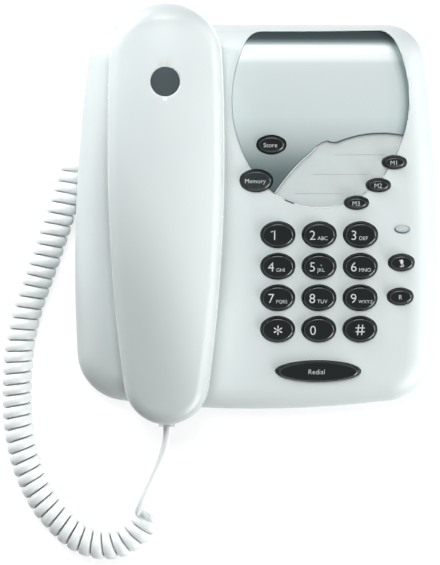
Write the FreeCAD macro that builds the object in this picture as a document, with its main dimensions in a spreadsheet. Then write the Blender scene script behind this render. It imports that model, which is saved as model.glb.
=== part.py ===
import FreeCAD, Part
import math
import os

import Sketcher
from FreeCAD import Placement, Rotation, Vector

# A corded desk telephone, in millimetres and degrees: X to the right, Y to the back, Z up, with the origin
# on the desk under the middle of the telephone. The base's face is a plane tilted about X, and most pieces
# are drawn on that face: x across it, v up its slope and w square out of it.
SIZES = {
    # the face plane
    "tilt": 7,
    "face_height": 33,
    # outline of the base, on the face
    "base_half_width": 86,
    "base_widest_v": -30,
    "side_radius": 750,
    "base_front_v": -94,
    "front_radius": 500,
    "base_back_v": 89,
    "front_corner": 24,
    "back_corner": 18,
    # the two housings
    "upper_depth": 16,
    "edge_round": 14,
    "wall": 2.8,
    "bottom_z": 2,
    "undercut": 10,
    "lower_wall": 2.4,
    # clearances
    "seat_gap": 0.05,
    "fit_gap": 0.25,
    "rest_gap": 0.3,
    # handset
    "handset_x": -42,
    "handset_length": 197,
    "ear_end_radius": 26,
    "mic_end_radius": 20,
    "handset_side_radius": 840,
    "handset_parting": 12,
    "handset_underside": 2,
    "handset_crown": 30,
    "crown_across": 50,
    "crown_along": 740,
    "crown_edge": 9,
    "arch_ear_reach": 1,
    "arch_mic_gap": 2,
    "arch_rise": 8,
    "arch_blend": 25,
    "handset_wall": 2.2,
    "handset_rim": 0.6,
    "ear_inset": 12.97,
    "ear_cup_radius": 20,
    "mic_inset": 12.03,
    "mic_cup_radius": 15,
    "cup_bottom": -8,
    "cup_bevel": 1.6,
    "underside_bevel": 1.6,
    "well_gap": 1.3,
    "badge_radius": 6.75,
    "badge_offset": 3,
    "badge_depth": 1,
    # inside the handset
    "receiver_radius": 15.5,
    "receiver_height": 7,
    "magnet_radius": 9.3,
    "magnet_height": 2,
    "receiver_wire_x": 10.2,
    "receiver_wire_v": 7.75,
    "lead_bend_gap": 6.75,
    "gasket_width": 4,
    "gasket_height": 1,
    "mic_radius": 4.8,
    "mic_height": 6.2,
    "boot_radius": 6.5,
    "boot_floor": 1,
    "boot_port_radius": 2.9,
    "weight_half_width": 8,
    "weight_end_gap": 8.2,
    "weight_height": 7,
    "weight_seat": 13.5,
    "weight_rib_inset": 8,
    "rib_thickness": 1.6,
    "ear_screw_offset": 25,
    "mic_screw_offset": 29,
    "handset_screw_seat": 8,
    "handset_screw_length": 12,
    "handset_boss_radius": 3.8,
    "sound_hole_radius": 1.4,
    "sound_hole_ring": 7,
    "mic_hole_radius": 0.84,
    # fascia, index card and cover, from the middle of the barrel-shaped panel
    "panel_inset": 56.2,
    "panel_v": 44.8,
    "panel_half_width": 41.1,
    "panel_side_radius": 60,
    "panel_widest": 9.3,
    "panel_bottom_radius": 37,
    "panel_top": 41,
    "panel_corner": 8.2,
    "panel_proud": 0.8,
    "panel_seat": 1.4,
    "cover_proud": 0.3,
    "card_thickness": 0.25,
    "cover_thickness": 1.1,
    # keys, across the face from the middle line of the panel
    "key_column_x": -19.6,
    "key_pitch_x": 19.4,
    "key_row_v": -8.85,
    "key_pitch_v": 14.94,
    "key_length": 16,
    "key_width": 12.2,
    "redial_x": -0.4,
    "redial_v": -73.7,
    "redial_length": 40.4,
    "redial_width": 10,
    "mute_x": 38.5,
    "mute_v": -22,
    "recall_x": 38.1,
    "recall_v": -38.1,
    "side_key_length": 12.2,
    "side_key_width": 8,
    "store_x": -22.8,
    "store_v": 33.5,
    "store_length": 13.6,
    "store_width": 8.7,
    "memory_x": -29.8,
    "memory_v": 16.6,
    "memory_length": 15.2,
    "memory_width": 10.5,
    "first_memory_x": 34.8,
    "first_memory_v": 25.2,
    "second_memory_x": 27.4,
    "second_memory_v": 14.5,
    "third_memory_x": 17.2,
    "third_memory_v": 6.2,
    "memory_key_length": 11.3,
    "memory_key_width": 6.2,
    "key_proud": 2.6,
    "key_edge": 0.8,
    "key_flange": 1,
    "key_flange_side": 0.8,
    "key_travel": 1.2,
    # lamp, from the same line
    "lamp_x": 38.8,
    "lamp_v": -6.3,
    "lamp_length": 7.4,
    "lamp_width": 3.9,
    "lamp_proud": 0.3,
    "led_radius": 1.9,
    "led_gap": 0.76,
    # board and mat
    "puck_half_width": 2.6,
    "can_radius": 3,
    "can_height": 8,
    "dome_rest": 0.8,
    "mat_thickness": 1.2,
    "board_thickness": 1.6,
    "board_gap": 1.4,
    "board_right_x": 46.2,
    "board_back": 50,
    "board_shoulder": -64,
    "board_front": -84,
    "board_tail_left": -25.8,
    "board_tail_right": 26.2,
    "mat_inset": 4.5,
    "mat_back": 40,
    "mat_shoulder": -46,
    "mat_tail_right": 29.7,
    "mat_front": -82,
    "board_boss_radius": 2.8,
    "boss_gap": 0.6,
    "board_screw_radius": 1,
    "board_screw_head": 2.2,
    "board_screw_head_height": 1.4,
    "board_screw_left_inset": 3.9,
    "board_screw_right_inset": 5.5,
    "board_screw_back": 45,
    "board_screw_front": -58,
    # housing screws, on the face
    "front_screw_inset": 16,
    "front_screw_v": -74,
    "left_screw_inset": 20,
    "left_screw_v": 38,
    "right_screw_inset": 22,
    "right_screw_v": 66,
    "screw_radius": 1.45,
    "screw_head_radius": 3,
    "screw_head": 2,
    "screw_length": 9,
    "screw_web": 3,
    "boss_radius": 4,
    "post_extra": 0.6,
    # feet, on the floor
    "foot_inset": 28,
    "foot_front_y": -60,
    "foot_back_y": 58,
    "foot_radius": 8,
    "foot_recess": 1.2,
    "foot_edge": 0.8,
    # keyholes, on the floor
    "keyhole_x": 41.5,
    "keyhole_y": 28,
    "keyhole_radius": 4.5,
    "keyhole_slot_radius": 2.3,
    "keyhole_slot": 9,
    # hook
    "hook_half_width": 3,
    "hook_half_length": 5,
    "hook_flange": 2,
    "hook_flange_thickness": 1.2,
    "hook_travel": 4.5,
    "switch_half_width": 3.2,
    "switch_offset": 13,
    "switch_length": 12,
    "switch_top": -18,
    "switch_height": 8,
    "leaf_thickness": 0.4,
    "leaf_half_width": 2,
    # rear niche with line socket and ringer switch
    "niche_left": 4,
    "niche_right": 52,
    "niche_low": 7,
    "niche_high": 24,
    "niche_inset": 9,
    "line_socket_x": 38,
    "line_socket_z": 14.6,
    "line_socket_width": 9.8,
    "line_socket_height": 7,
    "line_socket_depth": 12,
    "socket_wall": 2.2,
    "socket_back_wall": 1.5,
    "line_latch_half_width": 2,
    "handset_socket_wall": 1.45,
    "knob_x": 14,
    "knob_z": 15,
    "knob_width": 3,
    "knob_height": 2.4,
    "knob_travel": 6,
    "ringer_switch_half_width": 8.4,
    "ringer_switch_half_height": 4.8,
    "knob_length": 5.5,
    "knob_proud": 2,
    "ringer_x": 8,
    "ringer_y": 10,
    "ringer_radius": 13.5,
    "ringer_height": 5,
    "sound_slot_pitch": 4.05,
    "sound_slot_width": 1.8,
    "sound_slot_reach": 9.7,
    "sound_slot_end_reach": 6.75,
    # handset cord sockets and plugs
    "cord_z": 13,
    "jack_y": 24,
    "jack_inset": 18,
    "jack_depth": 10,
    "tunnel_gap_y": 3.08,
    "tunnel_gap_z": 1.07,
    "plug_width": 7.7,
    "plug_height": 6.7,
    "plug_length": 13.6,
    "plug_latch_width": 3.2,
    "plug_latch": 1,
    "base_plug_inset": 14,
    "handset_plug_w": 8.6,
    "handset_plug_proud": 1.2,
    "handset_jack_inset": 3.83,
    # flat leads inside
    "ribbon_half_width": 2,
    "ribbon_thickness": 0.8,
    # coiled cord
    "wire": 3.4,
    "coil_radius": 5.6,
    "coil_turns": 44,
    "coil_lift": 0.1,
}

doc = FreeCAD.newDocument("desk_telephone")
sheet = doc.addObject("Spreadsheet::Sheet", "sizes")
for row, (alias, number) in enumerate(SIZES.items(), start=1):
    sheet.set(f"A{row}", alias)
    sheet.set(f"B{row}", str(number))
    sheet.setAlias(f"B{row}", alias)
doc.recompute()


class Size:
    """A length that keeps the formula it came from beside its number."""

    def __init__(self, text, number):
        self.text = text
        self.number = number

    def __add__(self, other):
        other = as_size(other)
        return Size(f"({self.text} + {other.text})", self.number + other.number)

    def __sub__(self, other):
        other = as_size(other)
        return Size(f"({self.text} - {other.text})", self.number - other.number)

    def __mul__(self, other):
        other = as_size(other)
        return Size(f"({self.text} * {other.text})", self.number * other.number)

    def __truediv__(self, other):
        other = as_size(other)
        return Size(f"({self.text} / {other.text})", self.number / other.number)

    def __rsub__(self, other):
        return as_size(other) - self

    def __neg__(self):
        return Size(f"(0 - {self.text})", -self.number)

    __radd__ = __add__
    __rmul__ = __mul__


def as_size(value):
    return value if isinstance(value, Size) else Size(f"{value:g}", value)


def sine(angle):
    return Size(f"sin({angle.text} * 1deg)", math.sin(math.radians(angle.number)))


def cosine(angle):
    return Size(f"cos({angle.text} * 1deg)", math.cos(math.radians(angle.number)))


def root(value):
    return Size(f"sqrt({value.text})", math.sqrt(value.number))


class Sizes:
    """Each named size of the sheet, such as s.wall."""

    def __getattr__(self, name):
        return Size("sizes." + name, sheet.get(name))


s = Sizes()

# Tools run this far past what they cut.
past = as_size(3)
nick = as_size(1)
above = past

# Levels on the face that several pieces share, counted out of it.
parting = -s.upper_depth
below_walls = parting - past
well_floor = s.cup_bottom - s.rest_gap
well_bottom = well_floor - s.wall
flange_top = -(s.wall + s.rest_gap)
flange_bottom = flange_top - s.key_flange
dome_top = flange_bottom - s.rest_gap
mat_top = dome_top - (s.key_travel + s.dome_rest)
board_top = mat_top - s.mat_thickness
board_bottom = board_top - s.board_thickness
board_pilot_top = board_top + 4
floor_top = s.bottom_z + s.lower_wall
cup_top = s.handset_underside + s.handset_wall
cup_floor = s.cup_bottom + s.handset_wall
boot_ring_top = cup_floor + 2
handset_latch_top = s.handset_plug_w + s.plug_height / 2 + s.plug_latch

# Places along the handset, up the face.
handset_mid_v = s.handset_parting * sine(s.tilt) / cosine(s.tilt)
ear_end_v = handset_mid_v + s.handset_length / 2 - s.ear_end_radius
mic_end_v = handset_mid_v - s.handset_length / 2 + s.mic_end_radius
ear_v = ear_end_v - s.ear_inset
mic_v = mic_end_v + s.mic_inset
badge_v = ear_v + s.badge_offset
switch_back_v = ear_v - s.switch_offset
handset_screws = [ear_v - s.ear_screw_offset, mic_v + s.mic_screw_offset]
weight_v = (handset_screws[0] + handset_screws[1]) / 2
weight_half_length = handset_screws[0] - weight_v - s.handset_boss_radius - s.weight_end_gap
handset_jack_v = handset_mid_v - s.handset_length / 2 + s.handset_jack_inset
handset_plug_v = handset_mid_v - s.handset_length / 2 - s.handset_plug_proud
handset_socket_length = s.jack_depth + 1.2

# What is cut away over the handset's crown reaches past it sideways and above.
crown_reach = s.ear_end_radius * 1.3
crown_stock = as_size(20)
CROWN_SWEEP = 30

# The hollow under the grip runs from cup to cup.
arch_back_v = ear_v - s.ear_cup_radius + s.arch_ear_reach
arch_front_v = mic_v + s.mic_cup_radius + s.arch_mic_gap
arch_v = (arch_back_v + arch_front_v) / 2
arch_half_length = (arch_back_v - arch_front_v) / 2
arch_radius = (arch_half_length * arch_half_length + s.arch_rise * s.arch_rise) / (2 * s.arch_rise)
arch_centre_w = s.handset_underside + s.arch_rise - arch_radius

# Places across the base.
panel_x = s.base_half_width - s.panel_inset
lamp_x = panel_x + s.lamp_x
jack_face_x = s.jack_inset - s.base_half_width
base_plug_x = s.base_plug_inset - s.base_half_width
board_left = s.handset_x + s.ear_cup_radius + s.well_gap + s.wall + s.board_gap
board_right = panel_x + s.board_right_x
board_tail = (panel_x + s.board_tail_left, panel_x + s.board_tail_right)
board_screw_xs = (board_left + s.board_screw_left_inset, board_right - s.board_screw_right_inset)
foot_x = s.base_half_width - s.foot_inset
feet = [(foot_x * side, y) for side in (-1, 1) for y in (s.foot_front_y, s.foot_back_y)]
jack_back = as_size(3)

# The niche at the back, with the ringer's switch, and the sounder on the floor.
niche_y = s.base_back_v - s.niche_inset
niche_back = s.base_back_v + past * 5
knob_span = (s.knob_x - s.knob_width / 2, s.knob_x + s.knob_width / 2 + s.knob_travel)
ringer_rib = s.ringer_radius + s.rest_gap
ringer_rib_out = ringer_rib + 1.2
ringer_rib_top = floor_top + 3
ringer_top = floor_top + s.ringer_height

# The hook under the ear cup: its collar stops on the underside of the well when the handset is off.
collar_top = well_bottom - s.hook_travel - s.rest_gap
collar_bottom = collar_top - s.hook_flange_thickness
leaf_top = collar_bottom - s.rest_gap


def bind(thing, property_name, value):
    thing.setExpression(property_name, as_size(value).text)


def place(thing, x=0, y=0, z=0, tilted=False):
    """Puts a piece at x, y, z, or at x, v, w of the face."""
    x, y, z = as_size(x), as_size(y), as_size(z)
    if tilted:
        y, z = (
            y * cosine(s.tilt) - z * sine(s.tilt),
            s.face_height + y * sine(s.tilt) + z * cosine(s.tilt),
        )
        thing.Placement = Placement(Vector(), Rotation(Vector(1, 0, 0), s.tilt.number))
        bind(thing, "Placement.Rotation.Angle", s.tilt)
    bind(thing, "Placement.Base.x", x)
    bind(thing, "Placement.Base.y", y)
    bind(thing, "Placement.Base.z", z)
    return thing


def box(name, x, y, z, tilted=False):
    """A block between two ends along each axis."""
    made = doc.addObject("Part::Box", name)
    bind(made, "Length", as_size(x[1]) - x[0])
    bind(made, "Width", as_size(y[1]) - y[0])
    bind(made, "Height", as_size(z[1]) - z[0])
    return place(made, x[0], y[0], z[0], tilted)


def rod(name, x, y, radius, low, high, tilted=False):
    """An upright cylinder between two levels."""
    made = doc.addObject("Part::Cylinder", name)
    bind(made, "Radius", radius)
    bind(made, "Height", as_size(high) - low)
    return place(made, x, y, low, tilted)


def join(name, *pieces):
    if len(pieces) == 1:
        return pieces[0]
    made = doc.addObject("Part::MultiFuse", name)
    made.Shapes = list(pieces)
    return made


def cut(name, base, tool):
    made = doc.addObject("Part::Cut", name)
    made.Base = base
    made.Tool = tool
    return made


def common(name, base, tool):
    made = doc.addObject("Part::Common", name)
    made.Base = base
    made.Tool = tool
    return made


def new_body(name):
    return doc.addObject("PartDesign::Body", name)


def new_sketch(body, name, level=0, role="XY_Plane", x=0, y=0):
    """A sketch on one of the body's own planes, moved out of it by level."""
    made = body.newObject("Sketcher::SketchObject", name)
    plane = next(f for f in body.Origin.OriginFeatures if f.Role == role)
    made.AttachmentSupport = [(plane, "")]
    made.MapMode = "FlatFace"
    bind(made, "AttachmentOffset.Base.x", x)
    bind(made, "AttachmentOffset.Base.y", y)
    bind(made, "AttachmentOffset.Base.z", level)
    return made


def constrain(sketch, kind, *where, value):
    """A driving dimension of a sketch, bound to its formula."""
    value = as_size(value)
    made = sketch.addConstraint(Sketcher.Constraint(kind, *where, value.number))
    sketch.setExpression(f"Constraints[{made}]", value.text)


def pad(body, sketch, name, length, down=False):
    made = body.newObject("PartDesign::Pad", name)
    made.Profile = sketch
    made.Reversed = down
    bind(made, "Length", length)
    doc.recompute()
    return made


def dress(body, kind, name, base, keep, size):
    """A fillet or chamfer on the edges of a feature that pass a test."""
    names = [f"Edge{i}" for i, edge in enumerate(base.Shape.Edges, start=1) if keep(edge)]
    made = body.newObject("PartDesign::" + kind, name)
    made.Base = (base, names)
    bind(made, "Radius" if kind == "Fillet" else "Size", size)
    doc.recompute()
    return made


def level_edges(level):
    """A test for the edges that lie flat at one level."""
    height = as_size(level).number

    def keep(edge):
        box_of = edge.BoundBox
        return abs(box_of.ZMin - height) < 0.01 and abs(box_of.ZMax - height) < 0.01

    return keep


class Arc:
    """One arc of an outline: its centre is driven, or found from the two neighbours that it touches."""

    def __init__(self, radius, centre=None, towards=(0, 0)):
        self.radius = radius
        self.centre = centre
        self.towards = towards


class Level:
    """A straight side of an outline, along X at one y, with the outline below it."""

    def __init__(self, y):
        self.y = y


def circle_crossings(centre_a, radius_a, centre_b, radius_b):
    (ax, ay), (bx, by) = centre_a, centre_b
    gap = math.hypot(bx - ax, by - ay)
    along = (radius_a**2 - radius_b**2 + gap**2) / (2 * gap)
    off = math.sqrt(max(radius_a**2 - along**2, 0))
    ux, uy = (bx - ax) / gap, (by - ay) / gap
    mid = (ax + along * ux, ay + along * uy)
    return [(mid[0] - off * uy, mid[1] + off * ux), (mid[0] + off * uy, mid[1] - off * ux)]


def free_centre(arc, before, after, centres):
    """Where an arc that touches both neighbours from inside, or holds both, has its centre."""
    radius = arc.radius.number
    if isinstance(before, Level) or isinstance(after, Level):
        line, round_side = (before, after) if isinstance(before, Level) else (after, before)
        x, y = centres[id(round_side)]
        centre_y = line.y.number - radius
        reach = abs(round_side.radius.number - radius)
        off = math.sqrt(reach**2 - (centre_y - y) ** 2)
        found = [(x + off, centre_y), (x - off, centre_y)]
    else:
        found = circle_crossings(
            centres[id(before)],
            abs(before.radius.number - radius),
            centres[id(after)],
            abs(after.radius.number - radius),
        )
    return max(found, key=lambda p: p[0] * arc.towards[0] + p[1] * arc.towards[1])


def touch_point(one, other, centres):
    """Where two neighbours of an outline meet."""
    if isinstance(other, Level):
        one, other = other, one
    if isinstance(one, Level):
        return (centres[id(other)][0], one.y.number)
    big, small = (one, other) if one.radius.number > other.radius.number else (other, one)
    (bx, by), (sx, sy) = centres[id(big)], centres[id(small)]
    gap = math.hypot(sx - bx, sy - by)
    reach = big.radius.number / gap
    return (bx + (sx - bx) * reach, by + (sy - by) * reach)


def draw_outline(sketch, sides):
    """Draws the sides, given anticlockwise, as one smooth closed outline with driving dimensions."""
    centres = {}
    for side in sides:
        if isinstance(side, Arc) and side.centre is not None:
            centres[id(side)] = tuple(as_size(c).number for c in side.centre)
    for i, side in enumerate(sides):
        if isinstance(side, Arc) and side.centre is None:
            after = sides[(i + 1) % len(sides)]
            centres[id(side)] = free_centre(side, sides[i - 1], after, centres)
    for i, side in enumerate(sides):
        start = touch_point(sides[i - 1], side, centres)
        end = touch_point(side, sides[(i + 1) % len(sides)], centres)
        if isinstance(side, Level):
            sketch.addGeometry(Part.LineSegment(Vector(*start, 0), Vector(*end, 0)))
            continue
        cx, cy = centres[id(side)]
        angles = [math.atan2(p[1] - cy, p[0] - cx) for p in (start, end)]
        circle = Part.Circle(Vector(cx, cy, 0), Vector(0, 0, 1), side.radius.number)
        sketch.addGeometry(Part.ArcOfCircle(circle, angles[0], angles[1]))
    for i, side in enumerate(sides):
        sketch.addConstraint(Sketcher.Constraint("Tangent", i - 1 if i else len(sides) - 1, 2, i, 1))
        if isinstance(side, Level):
            sketch.addConstraint(Sketcher.Constraint("Horizontal", i))
            constrain(sketch, "DistanceY", -1, 1, i, 1, value=side.y)
            continue
        constrain(sketch, "Radius", i, value=side.radius)
        if side.centre is not None:
            constrain(sketch, "DistanceX", -1, 1, i, 3, value=side.centre[0])
            constrain(sketch, "DistanceY", -1, 1, i, 3, value=side.centre[1])


def draw_base_outline(sketch, inset):
    """The base seen square to its face: two long side arcs, a bowed front, a straight back."""
    side_x = s.base_half_width - s.side_radius
    side = s.side_radius - inset
    front_y = s.base_front_v + s.front_radius
    draw_outline(
        sketch,
        [
            Arc(side, (side_x, s.base_widest_v)),
            Arc(s.back_corner - inset, towards=(1, 0)),
            Level(s.base_back_v - inset),
            Arc(s.back_corner - inset, towards=(-1, 0)),
            Arc(side, (-side_x, s.base_widest_v)),
            Arc(s.front_corner - inset, towards=(-1, -1)),
            Arc(s.front_radius - inset, (0, front_y)),
            Arc(s.front_corner - inset, towards=(1, -1)),
        ],
    )


def draw_handset_outline(sketch, inset):
    """The handset seen from above: a wide ear end, a narrow speaking end and two long side arcs."""
    side = s.handset_side_radius - inset
    draw_outline(
        sketch,
        [
            Arc(s.ear_end_radius - inset, (s.handset_x, ear_end_v)),
            Arc(side, towards=(1, 0)),
            Arc(s.mic_end_radius - inset, (s.handset_x, mic_end_v)),
            Arc(side, towards=(-1, 0)),
        ],
    )


def draw_panel_outline(sketch, inset):
    """The barrel shape that the fascia and the index cover share."""
    side_x = s.panel_half_width - s.panel_side_radius
    side_y = s.panel_v + s.panel_widest
    side = s.panel_side_radius - inset
    draw_outline(
        sketch,
        [
            Arc(side, (panel_x + side_x, side_y)),
            Arc(s.panel_corner - inset, towards=(1, 0)),
            Level(s.panel_v + s.panel_top - inset),
            Arc(s.panel_corner - inset, towards=(-1, 0)),
            Arc(side, (panel_x - side_x, side_y)),
            Arc(s.panel_bottom_radius - inset, towards=(0, -1)),
        ],
    )


def prism(name, draw, inset, low, high):
    """An upright prism of one of the outlines, between two levels."""
    body = new_body(name)
    sketch = new_sketch(body, name + "_outline", low)
    draw(sketch, as_size(inset))
    pad(body, sketch, name + "_pad", as_size(high) - low)
    return body


# A bevel of this share of a round's radius lies just inside it.
BEVEL_SHARE = 0.62


def upper_block(name, inset, below=0, hollow=False):
    """The upper housing's outer form with its rounded edge, shrunk square to its skin by inset.

    The hollow inside has a bevel in place of the round, which leaves the wall about as thick.
    """
    inset = as_size(inset)
    body = new_body(name)
    sketch = new_sketch(body, name + "_outline", parting - below)
    draw_base_outline(sketch, inset)
    block = pad(body, sketch, name + "_pad", s.upper_depth + below - inset)
    kind, share = ("Chamfer", BEVEL_SHARE) if hollow else ("Fillet", 1)
    dress(body, kind, name + "_edge", block, level_edges(-inset), (s.edge_round - inset) * share)
    return body


def lower_block(name, inset, bottom, above=0):
    """The lower housing's form, drawn in from the parting plane down to a level bottom."""
    inset = as_size(inset)
    body = new_body(name)
    top = new_sketch(body, name + "_top")
    depth = s.upper_depth - above
    top.AttachmentOffset = Placement(Vector(), Rotation(Vector(1, 0, 0), s.tilt.number))
    bind(top, "AttachmentOffset.Rotation.Angle", s.tilt)
    bind(top, "AttachmentOffset.Base.y", depth * sine(s.tilt))
    bind(top, "AttachmentOffset.Base.z", s.face_height - depth * cosine(s.tilt))
    draw_base_outline(top, inset)
    under = new_sketch(body, name + "_bottom", bottom)
    draw_base_outline(under, inset + s.undercut)
    loft = body.newObject("PartDesign::AdditiveLoft", name + "_loft")
    loft.Profile = top
    loft.Sections = [under]
    loft.Ruled = True
    doc.recompute()
    return body


def handset_block(name, inset, low, hollow=False):
    """The handset's upper form: its outline under a crown that bows both across and along."""
    inset = as_size(inset)
    body = new_body(name)
    sketch = new_sketch(body, name + "_outline", low)
    draw_handset_outline(sketch, inset)
    high = s.handset_crown + nick * 2
    block = pad(body, sketch, name + "_pad", high - low)
    crown = new_sketch(body, name + "_crown", role="XZ_Plane")
    top = s.handset_crown.number - inset.number
    across = s.crown_across.number - inset.number
    centre = Vector(s.handset_x.number, top - across, 0)
    reach = crown_reach.number
    rise = math.sqrt(across**2 - reach**2)
    ends = [centre + Vector(side * reach, rise, 0) for side in (1, -1)]
    stock = high + crown_stock
    above = stock.number
    circle = Part.Circle(centre, Vector(0, 0, 1), across)
    angles = [math.atan2(rise, side * reach) for side in (1, -1)]
    crown.addGeometry(Part.ArcOfCircle(circle, *angles))
    corners = [ends[1], Vector(ends[1].x, above, 0), Vector(ends[0].x, above, 0), ends[0]]
    for start, end in zip(corners, corners[1:]):
        crown.addGeometry(Part.LineSegment(start, end))
    axle_w = top - s.crown_along.number + inset.number
    axle = [Vector(end.x, axle_w, 0) for end in ends]
    crown.addGeometry(Part.LineSegment(axle[1], axle[0]), True)
    crown.addConstraint(Sketcher.Constraint("Coincident", 0, 2, 1, 1))
    crown.addConstraint(Sketcher.Constraint("Coincident", 1, 2, 2, 1))
    crown.addConstraint(Sketcher.Constraint("Coincident", 2, 2, 3, 1))
    crown.addConstraint(Sketcher.Constraint("Coincident", 3, 2, 0, 1))
    crown.addConstraint(Sketcher.Constraint("Vertical", 1))
    crown.addConstraint(Sketcher.Constraint("Horizontal", 2))
    crown.addConstraint(Sketcher.Constraint("Vertical", 3))
    crown.addConstraint(Sketcher.Constraint("Horizontal", 4))
    constrain(crown, "Radius", 0, value=s.crown_across - inset)
    constrain(crown, "DistanceX", -1, 1, 0, 3, value=s.handset_x)
    constrain(crown, "DistanceY", -1, 1, 0, 3, value=s.handset_crown - s.crown_across)
    constrain(crown, "DistanceX", -1, 1, 0, 1, value=s.handset_x + crown_reach)
    constrain(crown, "DistanceX", -1, 1, 0, 2, value=s.handset_x - crown_reach)
    constrain(crown, "DistanceY", -1, 1, 1, 2, value=stock)
    constrain(crown, "DistanceY", -1, 1, 4, 1, value=s.handset_crown - s.crown_along)
    constrain(crown, "DistanceX", -1, 1, 4, 1, value=s.handset_x - s.ear_end_radius)
    constrain(crown, "DistanceX", -1, 1, 4, 2, value=s.handset_x + s.ear_end_radius)
    groove = body.newObject("PartDesign::Groove", name + "_crown_cut")
    groove.Profile = crown
    groove.ReferenceAxis = (crown, ["Axis0"])
    groove.Midplane = True
    groove.Angle = CROWN_SWEEP
    doc.recompute()
    if groove.Shape.Volume > block.Shape.Volume * 0.99:
        raise RuntimeError(f"{name}: the crown cut took nothing off")
    low_number = as_size(low).number

    def crown_edges(edge):
        box_of = edge.BoundBox
        upright = math.hypot(box_of.XLength, box_of.YLength) < 0.01
        return not upright and box_of.ZMin > low_number + 1

    kind, share = ("Chamfer", BEVEL_SHARE) if hollow else ("Fillet", 1)
    dress(body, kind, name + "_edge", groove, crown_edges, (s.crown_edge - inset) * share)
    return body


sub_parts = []


def finish(name, made, tilted=True):
    """Names a finished sub-part, and lays it on the face where it was drawn on the face."""
    made.Label = name
    if tilted:
        place(made, tilted=True)
    sub_parts.append(made)
    return made


def span(middle, half):
    """The two ends of a stretch about its middle."""
    return (as_size(middle) - half, as_size(middle) + half)


def draw_rectangle(sketch, length, width):
    """A rectangle about the sketch's own middle."""
    x, y = as_size(length) / 2, as_size(width) / 2
    corners = [Vector(i * x.number, j * y.number, 0) for i, j in ((-1, -1), (1, -1), (1, 1), (-1, 1))]
    for i, corner in enumerate(corners):
        sketch.addGeometry(Part.LineSegment(corner, corners[(i + 1) % 4]))
    for i in range(4):
        sketch.addConstraint(Sketcher.Constraint("Coincident", i, 2, (i + 1) % 4, 1))
        sketch.addConstraint(Sketcher.Constraint("Vertical" if i % 2 else "Horizontal", i))
    constrain(sketch, "DistanceX", -1, 1, 1, 1, value=x)
    constrain(sketch, "DistanceX", 0, 1, -1, 1, value=x)
    constrain(sketch, "DistanceY", -1, 1, 2, 1, value=y)
    constrain(sketch, "DistanceY", 0, 1, -1, 1, value=y)


def draw_oval(sketch, length, width):
    """An oval about the sketch's own middle, long across: an ellipse drawn as four arcs that touch."""
    a, b = as_size(length) / 2, as_size(width) / 2
    diagonal = root(a * a + b * b)
    end = diagonal * (diagonal - a + b) / (a * 2)
    side = diagonal * (diagonal + a - b) / (b * 2)
    draw_outline(
        sketch,
        [
            Arc(end, (a - end, 0)),
            Arc(side, towards=(0, -1)),
            Arc(end, (end - a, 0)),
            Arc(side, towards=(0, 1)),
        ],
    )


def oval(name, x, y, length, width, low, high):
    """An upright prism of oval outline."""
    body = new_body(name)
    sketch = new_sketch(body, name + "_outline", low, x=x, y=y)
    draw_oval(sketch, length, width)
    pad(body, sketch, name + "_pad", as_size(high) - low)
    return body


def draw_circle(sketch, radius, x=0, y=0):
    x, y, radius = as_size(x), as_size(y), as_size(radius)
    circle = Part.Circle(Vector(x.number, y.number, 0), Vector(0, 0, 1), radius.number)
    made = sketch.addGeometry(circle)
    constrain(sketch, "Radius", made, value=radius)
    constrain(sketch, "DistanceX", -1, 1, made, 3, value=x)
    constrain(sketch, "DistanceY", -1, 1, made, 3, value=y)


# The keys: name, place on the face, length and width. The digits stand in four rows of three.
digits = ["key_1", "key_2", "key_3", "key_4", "key_5", "key_6", "key_7", "key_8", "key_9"]
digits += ["key_star", "key_0", "key_hash"]
keys = [
    (
        name,
        panel_x + s.key_column_x + s.key_pitch_x * (i % 3),
        s.key_row_v - s.key_pitch_v * (i // 3),
        s.key_length,
        s.key_width,
    )
    for i, name in enumerate(digits)
]
keys += [
    ("key_redial", panel_x + s.redial_x, s.redial_v, s.redial_length, s.redial_width),
    ("key_mute", panel_x + s.mute_x, s.mute_v, s.side_key_length, s.side_key_width),
    ("key_recall", panel_x + s.recall_x, s.recall_v, s.side_key_length, s.side_key_width),
    ("key_store", panel_x + s.store_x, s.store_v, s.store_length, s.store_width),
    ("key_memory", panel_x + s.memory_x, s.memory_v, s.memory_length, s.memory_width),
    ("key_m1", panel_x + s.first_memory_x, s.first_memory_v, s.memory_key_length, s.memory_key_width),
    ("key_m2", panel_x + s.second_memory_x, s.second_memory_v, s.memory_key_length, s.memory_key_width),
    ("key_m3", panel_x + s.third_memory_x, s.third_memory_v, s.memory_key_length, s.memory_key_width),
]

case_screws = [
    (s.left_screw_inset - s.base_half_width, s.left_screw_v),
    (s.base_half_width - s.right_screw_inset, s.right_screw_v),
    (s.base_half_width - s.front_screw_inset, s.front_screw_v),
    (s.front_screw_inset - s.base_half_width, s.front_screw_v),
]
board_screws = [(x, v) for x in board_screw_xs for v in (s.board_screw_back, s.board_screw_front)]

def key_holes():
    """The openings that the keys pass through, with the same clearance all round."""
    gap = s.rest_gap * 2
    holes = [
        oval(f"{key}_hole", x, v, length + gap, width + gap, below_walls, above)
        for key, x, v, length, width in keys
    ]
    return join("key_holes", *holes)


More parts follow.
